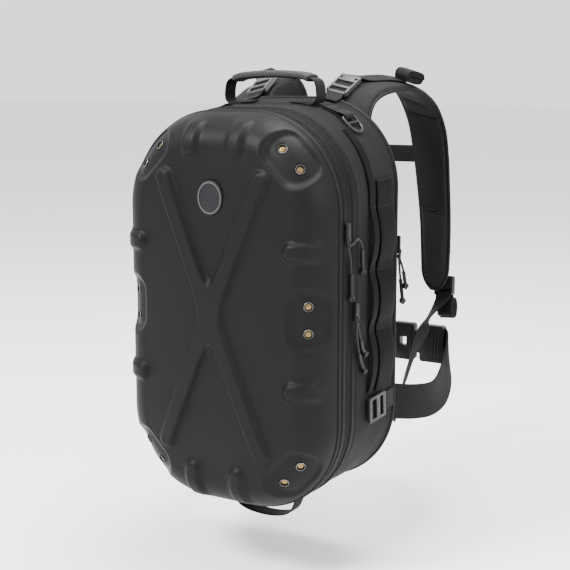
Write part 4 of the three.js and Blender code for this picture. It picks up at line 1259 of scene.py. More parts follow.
def puff(obj: Piece, voxel: float, cap: float) -> Piece:
    """Swell a padded piece by cloth simulation.

    Args:
        obj: The piece, slightly smaller than its final shape.
        voxel: Size of the remesh in mm.
        cap: The most that a point may move, in mm.

    Returns:
        The same object, swelled, with no modifier left.
    """
    remesh = obj.modifiers.new("remesh", "REMESH")
    remesh.mode, remesh.voxel_size, remesh.use_smooth_shade = "VOXEL", voxel * MM, True
    applied(obj)
    rest = np.array([v.co for v in obj.data.vertices], float)
    cloth = obj.modifiers.new("cloth", "CLOTH")
    cloth.settings.use_pressure = True
    cloth.settings.uniform_pressure_force = PUFF_PRESSURE
    cloth.settings.quality = 4
    cloth.settings.tension_stiffness = PUFF_STIFFNESS
    cloth.settings.compression_stiffness = PUFF_STIFFNESS
    cloth.settings.effector_weights.gravity = 0
    cloth.collision_settings.use_collision = False
    scene = bpy.context.scene
    for number in range(1, PUFF_FRAMES + 1):
        scene.frame_set(number)
    applied(obj)
    scene.frame_set(1)
    moved = np.array([v.co for v in obj.data.vertices], float) - rest
    length = np.linalg.norm(moved, axis=1, keepdims=True)
    moved *= np.minimum(1, cap * MM / np.maximum(length, 1e-9))
    obj.data.vertices.foreach_set("co", (rest + moved).astype(np.float32).ravel())
    obj.data.update()
    subdivision = obj.modifiers.new("subdivision", "SUBSURF")
    subdivision.levels = subdivision.render_levels = 1
    applied(obj)
    obj.data.shade_smooth()
    return obj


# ---- Webbing


def strap(
    name: str,
    run: Run,
    width: float,
    thickness: float,
    slot: str,
    *nodes: str,
    count: int = 90,
    finish: Finish = STRAP,
) -> Piece:
    """Build a flat strap with rolled selvedges and settle it."""
    return settle(grid(name, run.sections(count, flat_profile(width, thickness)), finish), slot, *nodes)


def box_stitch(run: Run, start: float, end: float, out: float, edge: float = 0.82) -> list[Array]:
    """Return the lines of a sewn box with a cross in it."""
    a, b, c, d = (start, -edge), (start, edge), (end, edge), (end, -edge)
    return [run.between(p, q, out) for p, q in ((a, b), (b, c), (c, d), (d, a), (a, c), (b, d))]


ROLL_PITCH = 2.15  # how much each turn of a roll is smaller than the one round it
ROLL_STEPS = 20


def rolled(
    centre: Array, x_axis: Array, y_axis: Array, half: tuple[float, float], width: float, turns: int = 4
) -> Run:
    """Return the way of a strap's tail that is rolled up flat.

    Args:
        centre: Middle of the roll.
        x_axis: The roll's long direction.
        y_axis: Its short direction.
        half: Half sizes along the two.
        width: The strap's width, along the roll's axis.
        turns: Number of turns.
    """
    x_axis = unit(x_axis)
    z_axis = unit(np.cross(x_axis, y_axis))
    y_axis = np.cross(z_axis, x_axis)
    flat = half[0] - half[1]
    rows = []
    for i in range(turns * ROLL_STEPS + 1):
        turn = i / ROLL_STEPS
        radius = max(half[1] - turn * ROLL_PITCH - 0.9, 0.6)
        c, s = math.cos(turn * math.tau), math.sin(turn * math.tau)
        along = math.copysign(flat, c) * min(1, abs(c) * 2.2) + radius * c
        rows.append((centre + x_axis * along + y_axis * radius * s, z_axis * width / 2))
    return Run.of(rows)


SIDES = (("right", 1), ("left", -1))


@dataclass
class SideLadders:
    """The two rows of webbing down each side, sewn down at bar tacks and bowed out between them."""

    repeats: Repeats
    tacks: tuple = (0.66, 0.53, 0.215, -0.09, -0.415)
    strip_top: float = 0.95
    width: float = 42
    strip_width: float = 14
    thickness: float = 1.8
    bow: float = 6.5
    station: float = BAG.gusset_station(0.69)

    @property
    def flat(self) -> float:
        """Return how far off the wall the webbing's middle lies where it is sewn."""
        return GAP + self.thickness / 2 + 0.3

    def place(self, y: float, width: float, side: int, run: float, out: float) -> tuple[Array, Array]:
        """Return one row of a webbing that follows the wall."""
        near = BAG.on_wall(y - width / 2, run, out, side)[0]
        far = BAG.on_wall(y + width / 2, run, out, side)[0]
        return (near + far) / 2, (far - near) / 2

    def run(self, y: float, width: float, side: int, heights: Sequence[float]) -> Run:
        """Return the way of one webbing."""
        rise = BAG.at(y)[3]
        rows = []
        for i, share in enumerate(heights):
            end = share * BAG.front_half_height - rise
            if i:
                start = heights[i - 1] * BAG.front_half_height - rise
                bow = self.bow if i > 1 else 0
                for t in (0.25, 0.5, 0.75):
                    out = self.flat + bow * math.sin(math.pi * t)
                    rows.append(self.place(y, width, side, start + (end - start) * t, out))
            rows.append(self.place(y, width, side, end, self.flat))
        return Run.of(rows)

    def tack_lines(self, y: float, width: float, side: int, heights: Sequence[float]) -> list[Array]:
        """Return the thread of the bar tacks across one webbing."""
        rise = BAG.at(y)[3]
        out = self.flat + self.thickness / 2 + 0.15
        lines = []
        for share in heights:
            for step in (-0.9, 0, 0.9):
                run = share * BAG.front_half_height - rise + step
                lines.append(np.array([BAG.on_wall(y + width * t, run, out, side)[0]
                                       for t in np.linspace(-0.47, 0.47, 10)]))
        return lines

    def build(self) -> None:
        """Build both sides."""
        strip_y = self.station - (self.width + self.strip_width) / 2 - 6
        bands = (
            ("ladder", "side_webbing", self.station, self.width, self.tacks),
            ("ladder_strip", "side_strip", strip_y, self.strip_width, (self.strip_top, *self.tacks[1:])))
        for word, side in SIDES:
            lines = []
            for name, node, y, width, heights in bands:
                strap(f"{name}_{word}", self.run(y, width, side, heights), width, self.thickness,
                      "webbing", f"{node}_{word}", count=150, finish=GEAR)
                lines += self.tack_lines(y, width, side, heights)
            self.repeats.rows(f"ladder_tacks_{word}", lines, "webbing", Unit.TACK)


# ---- Hardware


def rounded(obj: Piece, width: float, finishes: Sequence[Finish] = ()) -> Piece:
    """Round an object's edges and shade it as a moulded part.

    Args:
        obj: The object.
        width: Width of the rounding in mm.
        finishes: Finishes that the object hasn't got yet.
    """
    modifier = obj.modifiers.new("rounding", "BEVEL")
    modifier.width, modifier.segments = width * MM, 3
    modifier.limit_method, modifier.angle_limit = "ANGLE", math.radians(40)
    modifier.use_clamp_overlap = True
    return finish_mesh(applied(obj), finishes, MOULDED_SHARP)


def dressed_copy(node: str, name: str, finish: Finish, bevel: float, slot: str) -> Piece:
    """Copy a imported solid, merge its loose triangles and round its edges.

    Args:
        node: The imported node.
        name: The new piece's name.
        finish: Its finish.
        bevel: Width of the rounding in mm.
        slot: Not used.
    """
    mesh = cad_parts[node].data.copy()
    mesh.name = name
    mesh.materials.clear()
    made = bmesh.new()
    made.from_mesh(mesh)
    bmesh.ops.remove_doubles(made, verts=made.verts, dist=2e-5)
    bmesh.ops.dissolve_limit(made, angle_limit=math.radians(2), verts=made.verts, edges=made.edges)
    bmesh.ops.recalc_face_normals(made, faces=made.faces)
    made.to_mesh(mesh)
    made.free()
    obj = bpy.data.objects.new(name, mesh)
    bpy.context.scene.collection.objects.link(obj)
    return settle(rounded(obj, bevel, [finish]), slot, node)


@dataclass
class Block:
    """One moulded bar: its middle, directions and sizes."""

    centre: Array
    x_axis: Array
    y_axis: Array
    size: tuple[float, float, float]

    def build(self, name: str, finish: Finish, bevel: float) -> Piece:
        """Build the bar with rounded edges."""
        x = unit(self.x_axis)
        z = unit(np.cross(x, self.y_axis))
        y = np.cross(z, x)
        half = vec(*self.size) / 2
        corners = [self.centre + x * half[0] * a + y * half[1] * b + z * half[2] * c
                   for a in (-1, 1) for b in (-1, 1) for c in (-1, 1)]
        faces = [(0, 1, 3, 2), (4, 6, 7, 5), (0, 4, 5, 1), (2, 3, 7, 6), (0, 2, 6, 4), (1, 5, 7, 3)]
        bar = mesh_object(name, np.array(corners), faces, finish)
        return rounded(bar, min(bevel, min(self.size) * 0.45))


def bars(
    name: str, blocks: Sequence[Block], finish: Finish, slot: str, *nodes: str, bevel: float
) -> Piece:
    """Build several bars as one moulded piece."""
    parts = [block.build(f"{name}_{i}", finish, bevel) for i, block in enumerate(blocks)]
    return settle(joined(name, parts), slot, *nodes)


@dataclass
class Rings:
    """The D-rings in their hairpins of webbing, and the slide buckles lower down."""

    repeats: Repeats
    station: float = BAG.gusset_station(0.58)
    wire: float = 3.6
    width: float = 22
    length: float = 30
    angle: float = 55
    webbing: float = 1.8
    slide_station: float = BAG.gusset_station(0.485)
    slide_height: float = -0.525
    slide_length: float = 44
    slide_webbing: float = 25

    @property
    def bend(self) -> float:
        """Return the radius of the webbing's turn round a ring's bar."""
        return self.wire / 2 + 0.6 + self.webbing / 2

    def place(self, side: int) -> tuple[float, Array, Array, Array, Array]:
        """Return the run, the bar's middle, the wall's normal, and the ring's two directions."""
        _, half_height, corner, _ = BAG.at(self.station)
        run = half_height - corner + corner * math.radians(self.angle)
        bar, normal = BAG.on_wall(self.station, run, GAP + self.webbing / 2 + self.bend, side)
        tip = BAG.on_wall(self.station, run - self.length, self.wire / 2 + 0.9, side)[0]
        along = unit(tip - bar)
        ahead = BAG.wall_ahead(self.station, run, side)
        return run, bar, normal, along, ahead

    def ring(self, word: str, side: int) -> None:
        """Build one ring: a bent wire with a brace across."""
        _, bar, _, along, ahead = self.place(side)
        across = unit(ahead - along * ahead.dot(along))
        reach = (self.width + self.wire) / 2
        bow = self.length - self.wire - reach
        fillet = 2.6
        arc = np.linspace(-math.pi / 2, math.pi / 2, 26)[1:]
        turn = [(fillet - fillet * math.sin(a), reach - fillet + fillet * math.cos(a))
                for a in (0.4, 0.8, 1.2)]
        flat = [(fillet, -reach), (bow, -reach)]
        flat += [(bow + reach * math.cos(a), reach * math.sin(a)) for a in arc]
        flat += [(fillet, reach), *turn, (0, reach - fillet), (0, 0), (0, fillet - reach)]
        flat += [(a, -b) for a, b in reversed(turn)]
        points = np.array([bar + along * a + across * b for a, b in flat])
        frame_wire = tube(f"ring_{word}", points, self.wire / 2, NICKEL_DARK, 14, closed=True)
        cross = np.array([bar + along * self.length * 0.36 + across * b for b in (-reach, 0, reach)])
        brace = tube(f"ring_brace_{word}", cross, self.wire * 0.42, NICKEL_DARK, 12)
        ring = joined(f"ring_{word}", [frame_wire, brace])
        settle(ring, "rings", f"d_ring_{word}", body=f"d_ring_{word}")

    def hairpin(self, word: str, side: int) -> None:
        """Build the webbing that holds one ring, with the stitches over its tails."""
        run, bar, normal, along, ahead = self.place(side)
        half = ahead * (self.width / 2 - 1)
        low = GAP + self.webbing / 2
        high = low + self.webbing + GAP

        def skin(back: float, out: float) -> Array:
            """Return a point behind the bar, off the wall."""
            return BAG.on_wall(self.station, run + back, out, side)[0]

        rows = [skin(34, low), skin(22, low), skin(9, low)]
        for a in np.linspace(-math.pi / 2, math.pi / 2, 5):
            rows.append(bar + normal * self.bend * math.sin(a) + along * self.bend * math.cos(a))
        rows += [skin(12, high + 1.6), skin(24, high + 0.2), skin(34, high)]
        way = Run.of([(row, half) for row in rows])
        strap(f"ring_tab_{word}", way, self.width - 2, self.webbing, "webbing", f"d_ring_loop_{word}")
        lines = []
        for back in (16, 18.5, 30, 32.5):
            top = high + self.webbing / 2 + 0.2 + (0.9 if back < 20 else 0)
            middle = skin(back, top)
            lines.append(np.array([middle + half * 0.85 * t for t in np.linspace(-1, 1, 8)]))
        self.repeats.rows(f"ring_tab_stitches_{word}", lines, "webbing", Unit.TACK)

    def slide(self, word: str, side: int) -> None:
        """Build one slide buckle on its webbing tab."""
        run = self.slide_height * BAG.front_half_height
        stations = np.linspace(self.slide_station - self.slide_length * 0.4, BAG.gusset_end - 1, 6)
        half = vec(0, 0, self.slide_webbing / 2)
        way = Run.of([(BAG.on_wall(y, run, GAP + self.webbing / 2, side)[0], half) for y in stations])
        strap(f"slide_tab_{word}", way, self.slide_webbing, self.webbing,
              "webbing", f"glide_tab_{word}", count=30)
        out = -side * (self.webbing / 2 + 0.2)
        lines = [way.between((s, -0.8), (s, 0.8), out) for s in (0.9, 0.95)]
        self.repeats.rows(f"slide_tab_stitches_{word}", lines, "webbing", Unit.TACK)
        dressed_copy(f"slide_buckle_{word}", f"slide_plate_{word}", ACETAL, 0.9, "buckles")

    def build(self) -> None:
        """Build both sides."""
        for word, side in SIDES:
            self.ring(word, side)
            self.hairpin(word, side)
            self.slide(word, side)


@dataclass
class Carry:
    """The carrying handle on the top and the haul loop at the bottom."""

    repeats: Repeats
    station: float = BAG.gusset_station(0.53)
    half_span: float = 69
    height: float = 41
    width: float = 25
    webbing: float = 1.8
    grip_width: float = 30
    grip_thickness: float = 10
    grip_steps: int = 120
    loop_station: float = BAG.gusset_station(0.34)
    loop_half_span: float = 50
    loop_drop: float = 44

    def rows(self) -> list[tuple[Array, Array]]:
        """Return the rows of the handle's webbing, from foot to foot."""
        y, span, half = self.station, self.half_span, self.width / 2
        top = BAG.on_wall(y, BAG.run_at_top(y, span), 0)[0][2]

        def lie(x: float, out: float) -> tuple[Array, Array]:
            """Return a row that lies on the top."""
            run = BAG.run_at_top(y, x)
            return BAG.on_wall(y, run, out)[0], BAG.wall_ahead(y, run) * half

        def free(x: float, share: float) -> tuple[Array, Array]:
            """Return a row at a share of the handle's height."""
            return vec(x, y, top + self.height * share), vec(0, half, 0)

        right = [
            lie(span * 0.45, GAP + 1.3), lie(span * 0.68, GAP + 1.3), lie(span * 0.9, GAP + 1.6),
            free(span, 0.18), free(span + 1, 0.5), free(span - 3, 0.8), free(span * 0.72, 0.94),
            free(span * 0.36, 1)]
        mirror = vec(-1, 1, 1)
        return [*right, free(0, 1.02), *[(p * mirror, h * mirror) for p, h in reversed(right)]]

    def handle(self) -> None:
        """Build the handle's webbing, its sewn feet and its grip."""
        rows = self.rows()
        way = Run.of(rows)
        strap("handle_strap", way, self.width, self.webbing, "webbing", "handle_webbing", count=160)
        out = self.webbing / 2 + 0.25
        lines = box_stitch(way, 0.008, 0.1, out) + box_stitch(way, 0.992, 0.9, out)
        for share in (0.115, 0.122, 0.878, 0.885):
            lines.append(way.between((share, -0.85), (share, 0.85), out))
        self.repeats.rows("handle_stitches", lines, "webbing")
        half = vec(0, self.grip_width / 2, 0)
        arch = [point for point, _ in rows[6:-6]]
        start = (arch[0] + rows[5][0]) / 2
        points = [start, *arch, start * vec(-1, 1, 1)]
        grip = Run.of([(point, half) for point in points])
        sections = grip.sections(self.grip_steps, pad_profile(self.grip_thickness, 3.6, 40))
        middle = grip.line(self.grip_steps, 0, 0)[:, None]
        shares = np.linspace(0, 1, self.grip_steps + 1)
        round_off = 0.86 + 0.14 * np.sqrt(np.clip(np.minimum(shares, 1 - shares) / 0.03, 0, 1))
        sections = middle + (sections - middle) * round_off[:, None, None]
        settle(grid("grip", sections, GRIP), "grip", "handle_grip")

    def loop(self) -> None:
        """Build the haul loop under the bag."""
        y, span, drop = self.loop_station, self.loop_half_span, self.loop_drop
        base = BAG.on_wall(y, -BAG.run_at_top(y, span), 0)[0][2]
        right = [
            vec(span, y, base + 4), vec(span, y, base - drop * 0.4), vec(span * 0.78, y, base - drop * 0.82)]
        points = [*right, vec(0, y, base - drop), *[p * vec(-1, 1, 1) for p in reversed(right)]]
        way = Run.of([(point, vec(0, self.width / 2, 0)) for point in points])
        strap("haul_loop", way, self.width, self.webbing, "webbing", "bottom_loop")
        out = self.webbing / 2 + 0.2
        lines = [way.between((s, -0.85), (s, 0.85), off)
                 for s in (0.05, 0.06, 0.95, 0.94) for off in (out, -out)]
        self.repeats.rows("haul_loop_stitches", lines, "webbing")

    def build(self) -> None:
        """Build handle and loop."""
        self.handle()
        self.loop()


# ---- Harness


@dataclass
class Seat:
    """A place on a strap: a point with the direction across, along and off the strap."""

    point: Array
    half: Array
    tangent: Array
    outward: Array

    def at(self, along: float, across: float = 0, lift: float = 0) -> Array:
        """Return the point that lies this far along, across and off the strap from here."""
        return self.point + self.tangent * along + self.half * across + self.outward * lift

    def block(self, along: float, across: float, lift: float, size: tuple[float, float, float]) -> Block:
        """Return a bar at such a point, its sizes along, across and off the strap."""
        return Block(self.at(along, across, lift), self.tangent, self.half, size)


@dataclass
class Harness:
    """Shoulder straps with their lifters, lower webbing, chest strap and waist belt."""

    repeats: Repeats
    half_width: float = 30
    thickness: float = 12
    reach: float = 185
    splay: float = 8
    webbing: float = 25
    web_thickness: float = 1.8
    roll_radius: float = 10
    belt_width: float = 50
    belt_thickness: float = 2.6
    belt_reach: float = 245
    clip_length: float = 38
    clip_to_socket: float = 48
    lifter_frame: tuple[float, float] = (44, 31)
    lifter_bars: tuple = (
        (-20, 0, 4, 3.4), (-9, 2.4, 4.5, 3.4), (1, -2.6, 3.4, 3.4), (9, 2.6, 5, 3), (19.4, 1.6, 5.2, 4.4))
    shoulder_table: tuple = (
        (0.495, -0.036, 0.925, 1.2, 0, 0.36), (0.5, -0.012, 0.996, 1.1, 0, 0.27),
        (0.505, 0.058, 1.055, 1.04, 0, 0.23), (0.52, 0.18, 1.098, 1, 0, 0.23),
        (0.564, 0.375, 1.13, 1, 0, 0.27), (0.63, 0.59, 1.133, 1, 0, 0.3),
        (0.695, 0.785, 1.06, 1, 0.03, 0.27), (0.741, 0.915, 0.918, 1, 0.13, 0.2),
        (0.761, 0.98, 0.745, 0.97, 0.2, 0.13), (0.787, 0.997, 0.549, 0.9, 0.23, 0.07),
        (0.82, 0.986, 0.353, 0.82, 0.2, 0), (0.846, 0.953, 0.176, 0.76, 0.17, 0),
        (0.872, 0.905, -0.035, 0.67, 0.17, 0))
    lower_table: tuple = (
        (0.84, 0.865, -0.196, (0.5, -0.85, 0.04)), (0.84, 0.757, -0.259, (0.88, -0.44, 0.1)),
        (0.879, 0.486, -0.38, (0.6, -0.78, 0.1)), (0.925, 0.27, -0.486, (0.5, -0.85, 0.12)),
        (None, 0.13, -0.6, (0.1, -0.8, 0.58)), (None, 0.065, -0.655, (0, -0.81, 0.59)))
    belt_right: tuple = (
        (0.938, -0.033, -0.533, (0, 0, 1)), (1.05, 0.163, -0.573, (0, 0, 1)),
        (1.09, 0.367, -0.596, (-0.04, 0, 1)),
        (1.05, 0.571, -0.58, (-0.28, 0.16, 0.92)), (0.97, 0.755, -0.53, (-0.4, 0.32, 0.84)),
        (0.885, 0.898, -0.47, (-0.16, 0.08, 0.96)), (0.8, 0.98, -0.424, (0, 0, 1)),
        (0.73, 0.98, -0.424, (0, 0, 1)))
    belt_left: tuple = (
        (-0.938, -0.033, -0.533, (0, 0, 1)), (-1.05, 0.163, -0.573, (0, 0, 1)),
        (-1.1, 0.408, -0.596, (0, 0, 1)), (-1.05, 0.653, -0.573, (0, 0, 1)),
        (-0.885, 0.857, -0.51, (0, 0, 1)), (-0.59, 0.963, -0.455, (0, 0, 1)),
        (-0.2, 0.985, -0.426, (0, 0, 1)), (0.23, 0.98, -0.424, (0, 0, 1)),
        (0.26, 0.98, -0.424, (0, 0, 1)))

    def hung(self, x: float, back: float, up: float, reach: float) -> Array:
        """Return a point behind the panel, at shares of a reach and of the half height."""
        return vec(x, BAG.panel_back + back * reach, up * BAG.front_half_height)

    def flat_web(self, name: str, way: Run, count: int) -> Piece:
        """Build the harness's flat webbing along a run."""
        return grid(name, way.sections(count, flat_profile(self.webbing, self.web_thickness)), STRAP)

    def sewn(self, name: str, way: Run, start: float, end: float, facing: float) -> None:
        """Sew a box with a cross on one face of a webbing."""
        out = facing * (self.web_thickness / 2 + 0.25)
        self.repeats.rows(name, box_stitch(way, start, end, out, 0.75), "webbing")

    def shoulder(self, side: int) -> Run:
        """Return the way of one shoulder strap."""
        rows = []
        for i, (across, back, up, wide, sweep, droop) in enumerate(self.shoulder_table):
            splay = self.splay * math.sin(math.pi * min(i / 6, 1)) if side < 0 else 0
            reach = self.half_width * wide
            point = self.hung((across * BAG.front_half_width + splay) * side, back, up, self.reach)
            rows.append((point, vec(reach * side, -reach * sweep, -reach * droop)))
        return Run.of(rows)

    def on_strap(self, side: int, share: float, across: float, lift: float) -> Seat:
        """Return a place over the outer face of a shoulder strap."""
        point, half, tangent = self.shoulder(side).at(share)
        outward = unit(np.cross(half, tangent)) * side
        place = point + half * across + outward * (self.thickness / 2 + lift)
        return Seat(place, unit(half - tangent * half.dot(tangent)), tangent, outward)

    def end_share(self, shares: Array) -> Array:
        """Return how wide a strap is at shares of its length: it ends in a round."""
        past = np.clip((shares - 0.955) / 0.045, 0, 1)
        return np.sqrt(np.clip(1 - past**2, 0.1, 1))

    def liner(self, word: str, side: int, way: Run) -> None:
        """Build the mesh lining of the face on the wearer's side, with the fold at its foot."""
        inner = side * (self.thickness / 2 - 0.35)
        section = (
            (-0.86, 0.7), (-0.5, 0.9), (0, 1.0), (0.5, 0.9), (0.86, 0.7), (0.86, -0.7), (0, -0.7),
            (-0.86, -0.7))
        flat = [(across, inner * (1 - 0.1 * across**2) + out) for across, out in section]
        settle(grid(f"strap_liner_{word}", way.sections(90, flat, 0.56, 0.8), SPACER), "strap_pads")
        welts = (
            ("fold", 0.806, np.linspace(-0.62, 0.3, 9), 0.9, 1.3, PAINTED),
            ("hem", 0.812, np.linspace(-0.86, 0.86, 13), 0.3, 1.5, BINDING),
            ("seam", 0.556, np.linspace(-0.9, 0.9, 13), 0.2, 1.2, BINDING))
        for what, share, places, lift, radius, finish in welts:
            line = [way.place(share, across, side * (self.thickness / 2 + lift - 0.9 * across**2))
                    for across in places]
            settle(tube(f"strap_{what}_{word}", np.array(line), radius, finish, 8), "strap_pads")

    def over(self, side: int, share: float, lifts: Sequence[tuple[float, float]], half: float) -> Run:
        """Return the way of a band across a shoulder strap, from (across, lift) rows."""
        seats = [self.on_strap(side, share, across, lift) for across, lift in lifts]
        return Run.of([(seat.point, seat.tangent * half) for seat in seats])

    def pad(self, word: str, side: int) -> None:
        """Build one padded strap with its bound edges, seam and keeper."""
        way = self.shoulder(side)
        rows = way.sections(130, pad_profile(self.thickness - 1.6, 3.4))
        middle = way.line(130, 0, 0)[:, None]
        near = self.end_share(np.linspace(0, 1, 131))
        foam = grid(f"strap_pad_{word}", middle + (rows - middle) * near[:, None, None], PAD_CLOTH)
        foam = puff(foam, 3.4, 1.0)
        settle(foam, "strap_pads", f"shoulder_strap_{word}")
        shares = np.linspace(0.03, 1, 150)
        edges = [(t, e) for t, e in zip(shares, self.end_share(shares))]
        path = [way.place(t, e, 0) for t, e in edges]
        path += [way.place(t, -e, 0) for t, e in reversed(edges)]
        settle(tube(f"strap_binding_{word}", np.array(path), 2.3, BINDING, 10), "strap_pads")
        self.liner(word, side, way)
        face = -side * (self.thickness / 2 + 0.1)
        lines = [way.line(150, across, face * 0.93, 0.12, 0.975) for across in (-0.84, 0.84)]
        lines += [way.between((s, -0.9), (s, 0.9), face) for s in (0.548, 0.556)]
        self.repeats.rows(f"strap_stitches_{word}", lines, "strap_pads")
        lifts = [(-0.84, -1.2), (-0.6, 2.6), (-0.2, 2.6), (0.2, 2.6), (0.6, 2.6), (0.84, -1.2)]
        keeper = self.over(side, 0.8, lifts, 5)
        strap(f"strap_keeper_{word}", keeper, 10, 1.4, "strap_pads", count=40, finish=BINDING)
        lifts = [(-0.72, -0.9), (-0.45, 2.8), (0, 4.6), (0.45, 2.8), (0.72, -0.9)]
        strap(f"strap_bight_{word}", self.over(side, 0.5, lifts, 8), 16, 1.8, "webbing", count=40)
        places = zip(np.linspace(0.725, 0.962, 8), np.linspace(0.05, 0.42, 8))
        seats = [self.on_strap(side, share, across, 1.1) for share, across in places]
        face_run = Run.of([(seat.point, seat.half * 10) for seat in seats])
        strap(f"strap_face_webbing_{word}", face_run, 20, 1.6, "webbing")

    def lifter(self, word: str, side: int) -> None:
        """Build one load lifter: webbing, buckle and rolled tail."""
        buckle = self.on_strap(side, 0.2, -0.6, 4.5 + GAP)
        half = buckle.half * self.webbing / 2
        off = GAP + self.web_thickness / 2 + 0.4
        low = buckle.at(-24)
        rows = []
        for y, out in ((BAG.gusset_end - 12, off), (BAG.back_piping_y, BAG.piping + off)):
            rows.append((BAG.on_wall(y, BAG.run_at_top(y, abs(low[0])), out, side)[0], half))
        rows += [(low, half), (buckle.point, half), (buckle.at(24), half)]
        for share, across in ((0.3, -0.4), (0.36, 0), (0.39, 0.35)):
            seat = self.on_strap(side, share, across, self.web_thickness / 2 + GAP + 1)
            rows.append((seat.point, seat.half * self.webbing / 2))
        webbing = self.flat_web(f"lifter_{word}", Run.of(rows), 110)
        end = self.on_strap(side, 0.41, 0.5, self.roll_radius - 0.9)
        size = (self.roll_radius * 1.9, self.roll_radius)
        roll = rolled(end.point, end.tangent, end.outward, size, self.webbing)
        tail = self.flat_web(f"lifter_roll_{word}", roll, 150)
        settle(joined(f"lifter_{word}", [webbing, tail]), "webbing", f"lifter_webbing_{word}")
        length, width = self.lifter_frame
        blocks = [buckle.block(0, sign * (width / 2 - 1.6), 0, (length, 3.2, 7.5)) for sign in (1, -1)]
        blocks += [buckle.block(along, 0, lift, (size_along, width - 1, deep))
                   for along, lift, size_along, deep in self.lifter_bars]
        blocks.append(buckle.block(14, 0, 3.2, (7, width * 0.62, 2.2)))
        node = f"lifter_buckle_{word}"
        bars(f"lifter_frame_{word}", blocks, ACETAL_SHEEN, "buckles", node, bevel=0.9)

    def lower(self, word: str, side: int) -> None:
        """Build one lower webbing with its lock, rolled tail and wing."""
        lock = self.on_strap(side, 0.985, 0.5, 4 + GAP)
        lock.point = lock.at(3)
        half = lock.half * self.webbing / 2
        bight = ((20, 7), (9, 2.5), (6.5, 0), (9, -2.5), (18, -4))
        rows = [(lock.at(down, 0, out), half) for down, out in bight]
        wing_x = 0.9 * BAG.front_half_width
        face_x = wing_x + 2.5 + 2 * GAP + self.web_thickness / 2
        for across, back, up, (x_way, y_way, z_way) in self.lower_table:
            x = (across * BAG.front_half_width if across else face_x) * side
            across_web = unit(vec(x_way * side, y_way, z_way)) * self.webbing / 2
            rows.append((self.hung(x, back, up, self.reach), across_web))
        way = Run.of(rows)
        webbing = self.flat_web(f"lower_{word}", way, 150)
        size = (self.roll_radius * 1.6, self.roll_radius)
        roll = rolled(lock.at(32, 0, 8), lock.tangent, lock.outward, size, self.webbing)
        tail = self.flat_web(f"lower_roll_{word}", roll, 150)
        settle(joined(f"lower_{word}", [webbing, tail]), "webbing", f"lower_webbing_{word}")
        dressed_copy(f"ladder_lock_{word}", f"lock_{word}", ACETAL, 0.9, "buckles")
        ridges = [lock.block(along, 0, 4.1, (1.6, 22, 1.2)) for along in (-11, -8, -5)]
        bars(f"lock_ridges_{word}", ridges, ACETAL, "buckles", bevel=0.4)
        dressed_copy(f"lower_anchor_{word}", f"wing_{word}", PAD_CLOTH, 1.6, "body_fabric")
        self.sewn(f"wing_stitches_{word}", way, 0.93, 0.992, way.facing(0.94, vec(side, 0, 0)))

    def sternum(self) -> None:
        """Build the chest strap and its buckle."""
        lift = self.web_thickness / 2 + GAP + 0.3
        centre = vec(0, 0, 0)
        for word, side in SIDES:
            seats = [self.on_strap(side, 0.68, across, lift).point for across in (0.2, -0.5, -1)]
            y, z = seats[2][1], seats[2][2]
            points = [vec(p[0], p[1], z) for p in seats] + [vec(45 * side, y, z), vec(21 * side, y, z)]
            way = Run.of([(p, vec(0, 0, self.webbing / 2)) for p in points])
            node = f"sternum_webbing_{word}"
            strap(f"chest_strap_{word}", way, self.webbing, self.web_thickness, "webbing", node)
            facing = way.facing(0.05, self.on_strap(side, 0.68, 0, 0).outward)
            self.sewn(f"chest_stitches_{word}", way, 0.02, 0.2, facing)
            centre = vec(0, y, z)
        dressed_copy("sternum_buckle", "chest_buckle", ACETAL, 1.3, "buckles")
        ridges = [Block(centre + vec(x, s * 4.7, 0), vec(1, 0, 0), vec(0, 0, 1), (1.6, 15, 1.2))
                  for x in (-16, -12, -8, 8, 12, 16) for s in (-1, 1)]
        bars("chest_buckle_ridges", ridges, ACETAL, "buckles", bevel=0.4)

    def belt(self) -> None:
        """Build the waist belt and its buckle."""
        for word, table in (("right", self.belt_right), ("left", self.belt_left)):
            rows = []
            for across, back, up, half in table:
                point = self.hung(across * BAG.front_half_width, back, up, self.belt_reach)
                rows.append((point, unit(vec(*half)) * self.belt_width / 2))
            way = Run.of(rows)
            strap(f"belt_{word}", way, self.belt_width, self.belt_thickness,
                  "webbing", f"waist_belt_{word}", count=150, finish=BELT)
            out = self.belt_thickness / 2 + 0.1
            lines = [way.line(160, across, off, 0.02, 0.97) for across in (-0.9, 0.9) for off in (out, -out)]
            self.repeats.rows(f"belt_stitches_{word}", lines, "webbing")
        dressed_copy("belt_clip", "belt_clip_body", ACETAL, 1.4, "buckles")
        dressed_copy("belt_socket", "belt_socket_body", ACETAL, 1.6, "buckles")
        across, back, up, _ = self.belt_left[-1]
        clip_x = across * BAG.front_half_width + self.clip_length * 0.32
        socket_x = clip_x + self.clip_to_socket
        ribs = [(socket_x + x, 40) for x in (2, 7, 12)] + [(clip_x + x, 42) for x in (-14, -10, 12)]
        blocks = [Block(self.hung(x, back, up, self.belt_reach) + vec(0, 6.7 * side, 0),
                        vec(1, 0, 0), vec(0, 0, 1), (2, height, 1.6))
                  for side in (-1, 1) for x, height in ribs]
        bars("belt_buckle_ridges", blocks, ACETAL, "buckles", bevel=0.5)

    def build(self) -> None:
        """Build the whole harness."""
        for word, side in SIDES:
            self.pad(word, side)
            self.lifter(word, side)
            self.lower(word, side)
        self.sternum()
        self.belt()


# ---- Zip pulls


@dataclass
class Pull:
    """One slider with its two cords.

    `out` is how far off the wall it lies, and `cords` has a row of (y, z, out) for each bend.
    """

    word: str
    y: float
    z: float
    out: float
    width: float
    cords: tuple


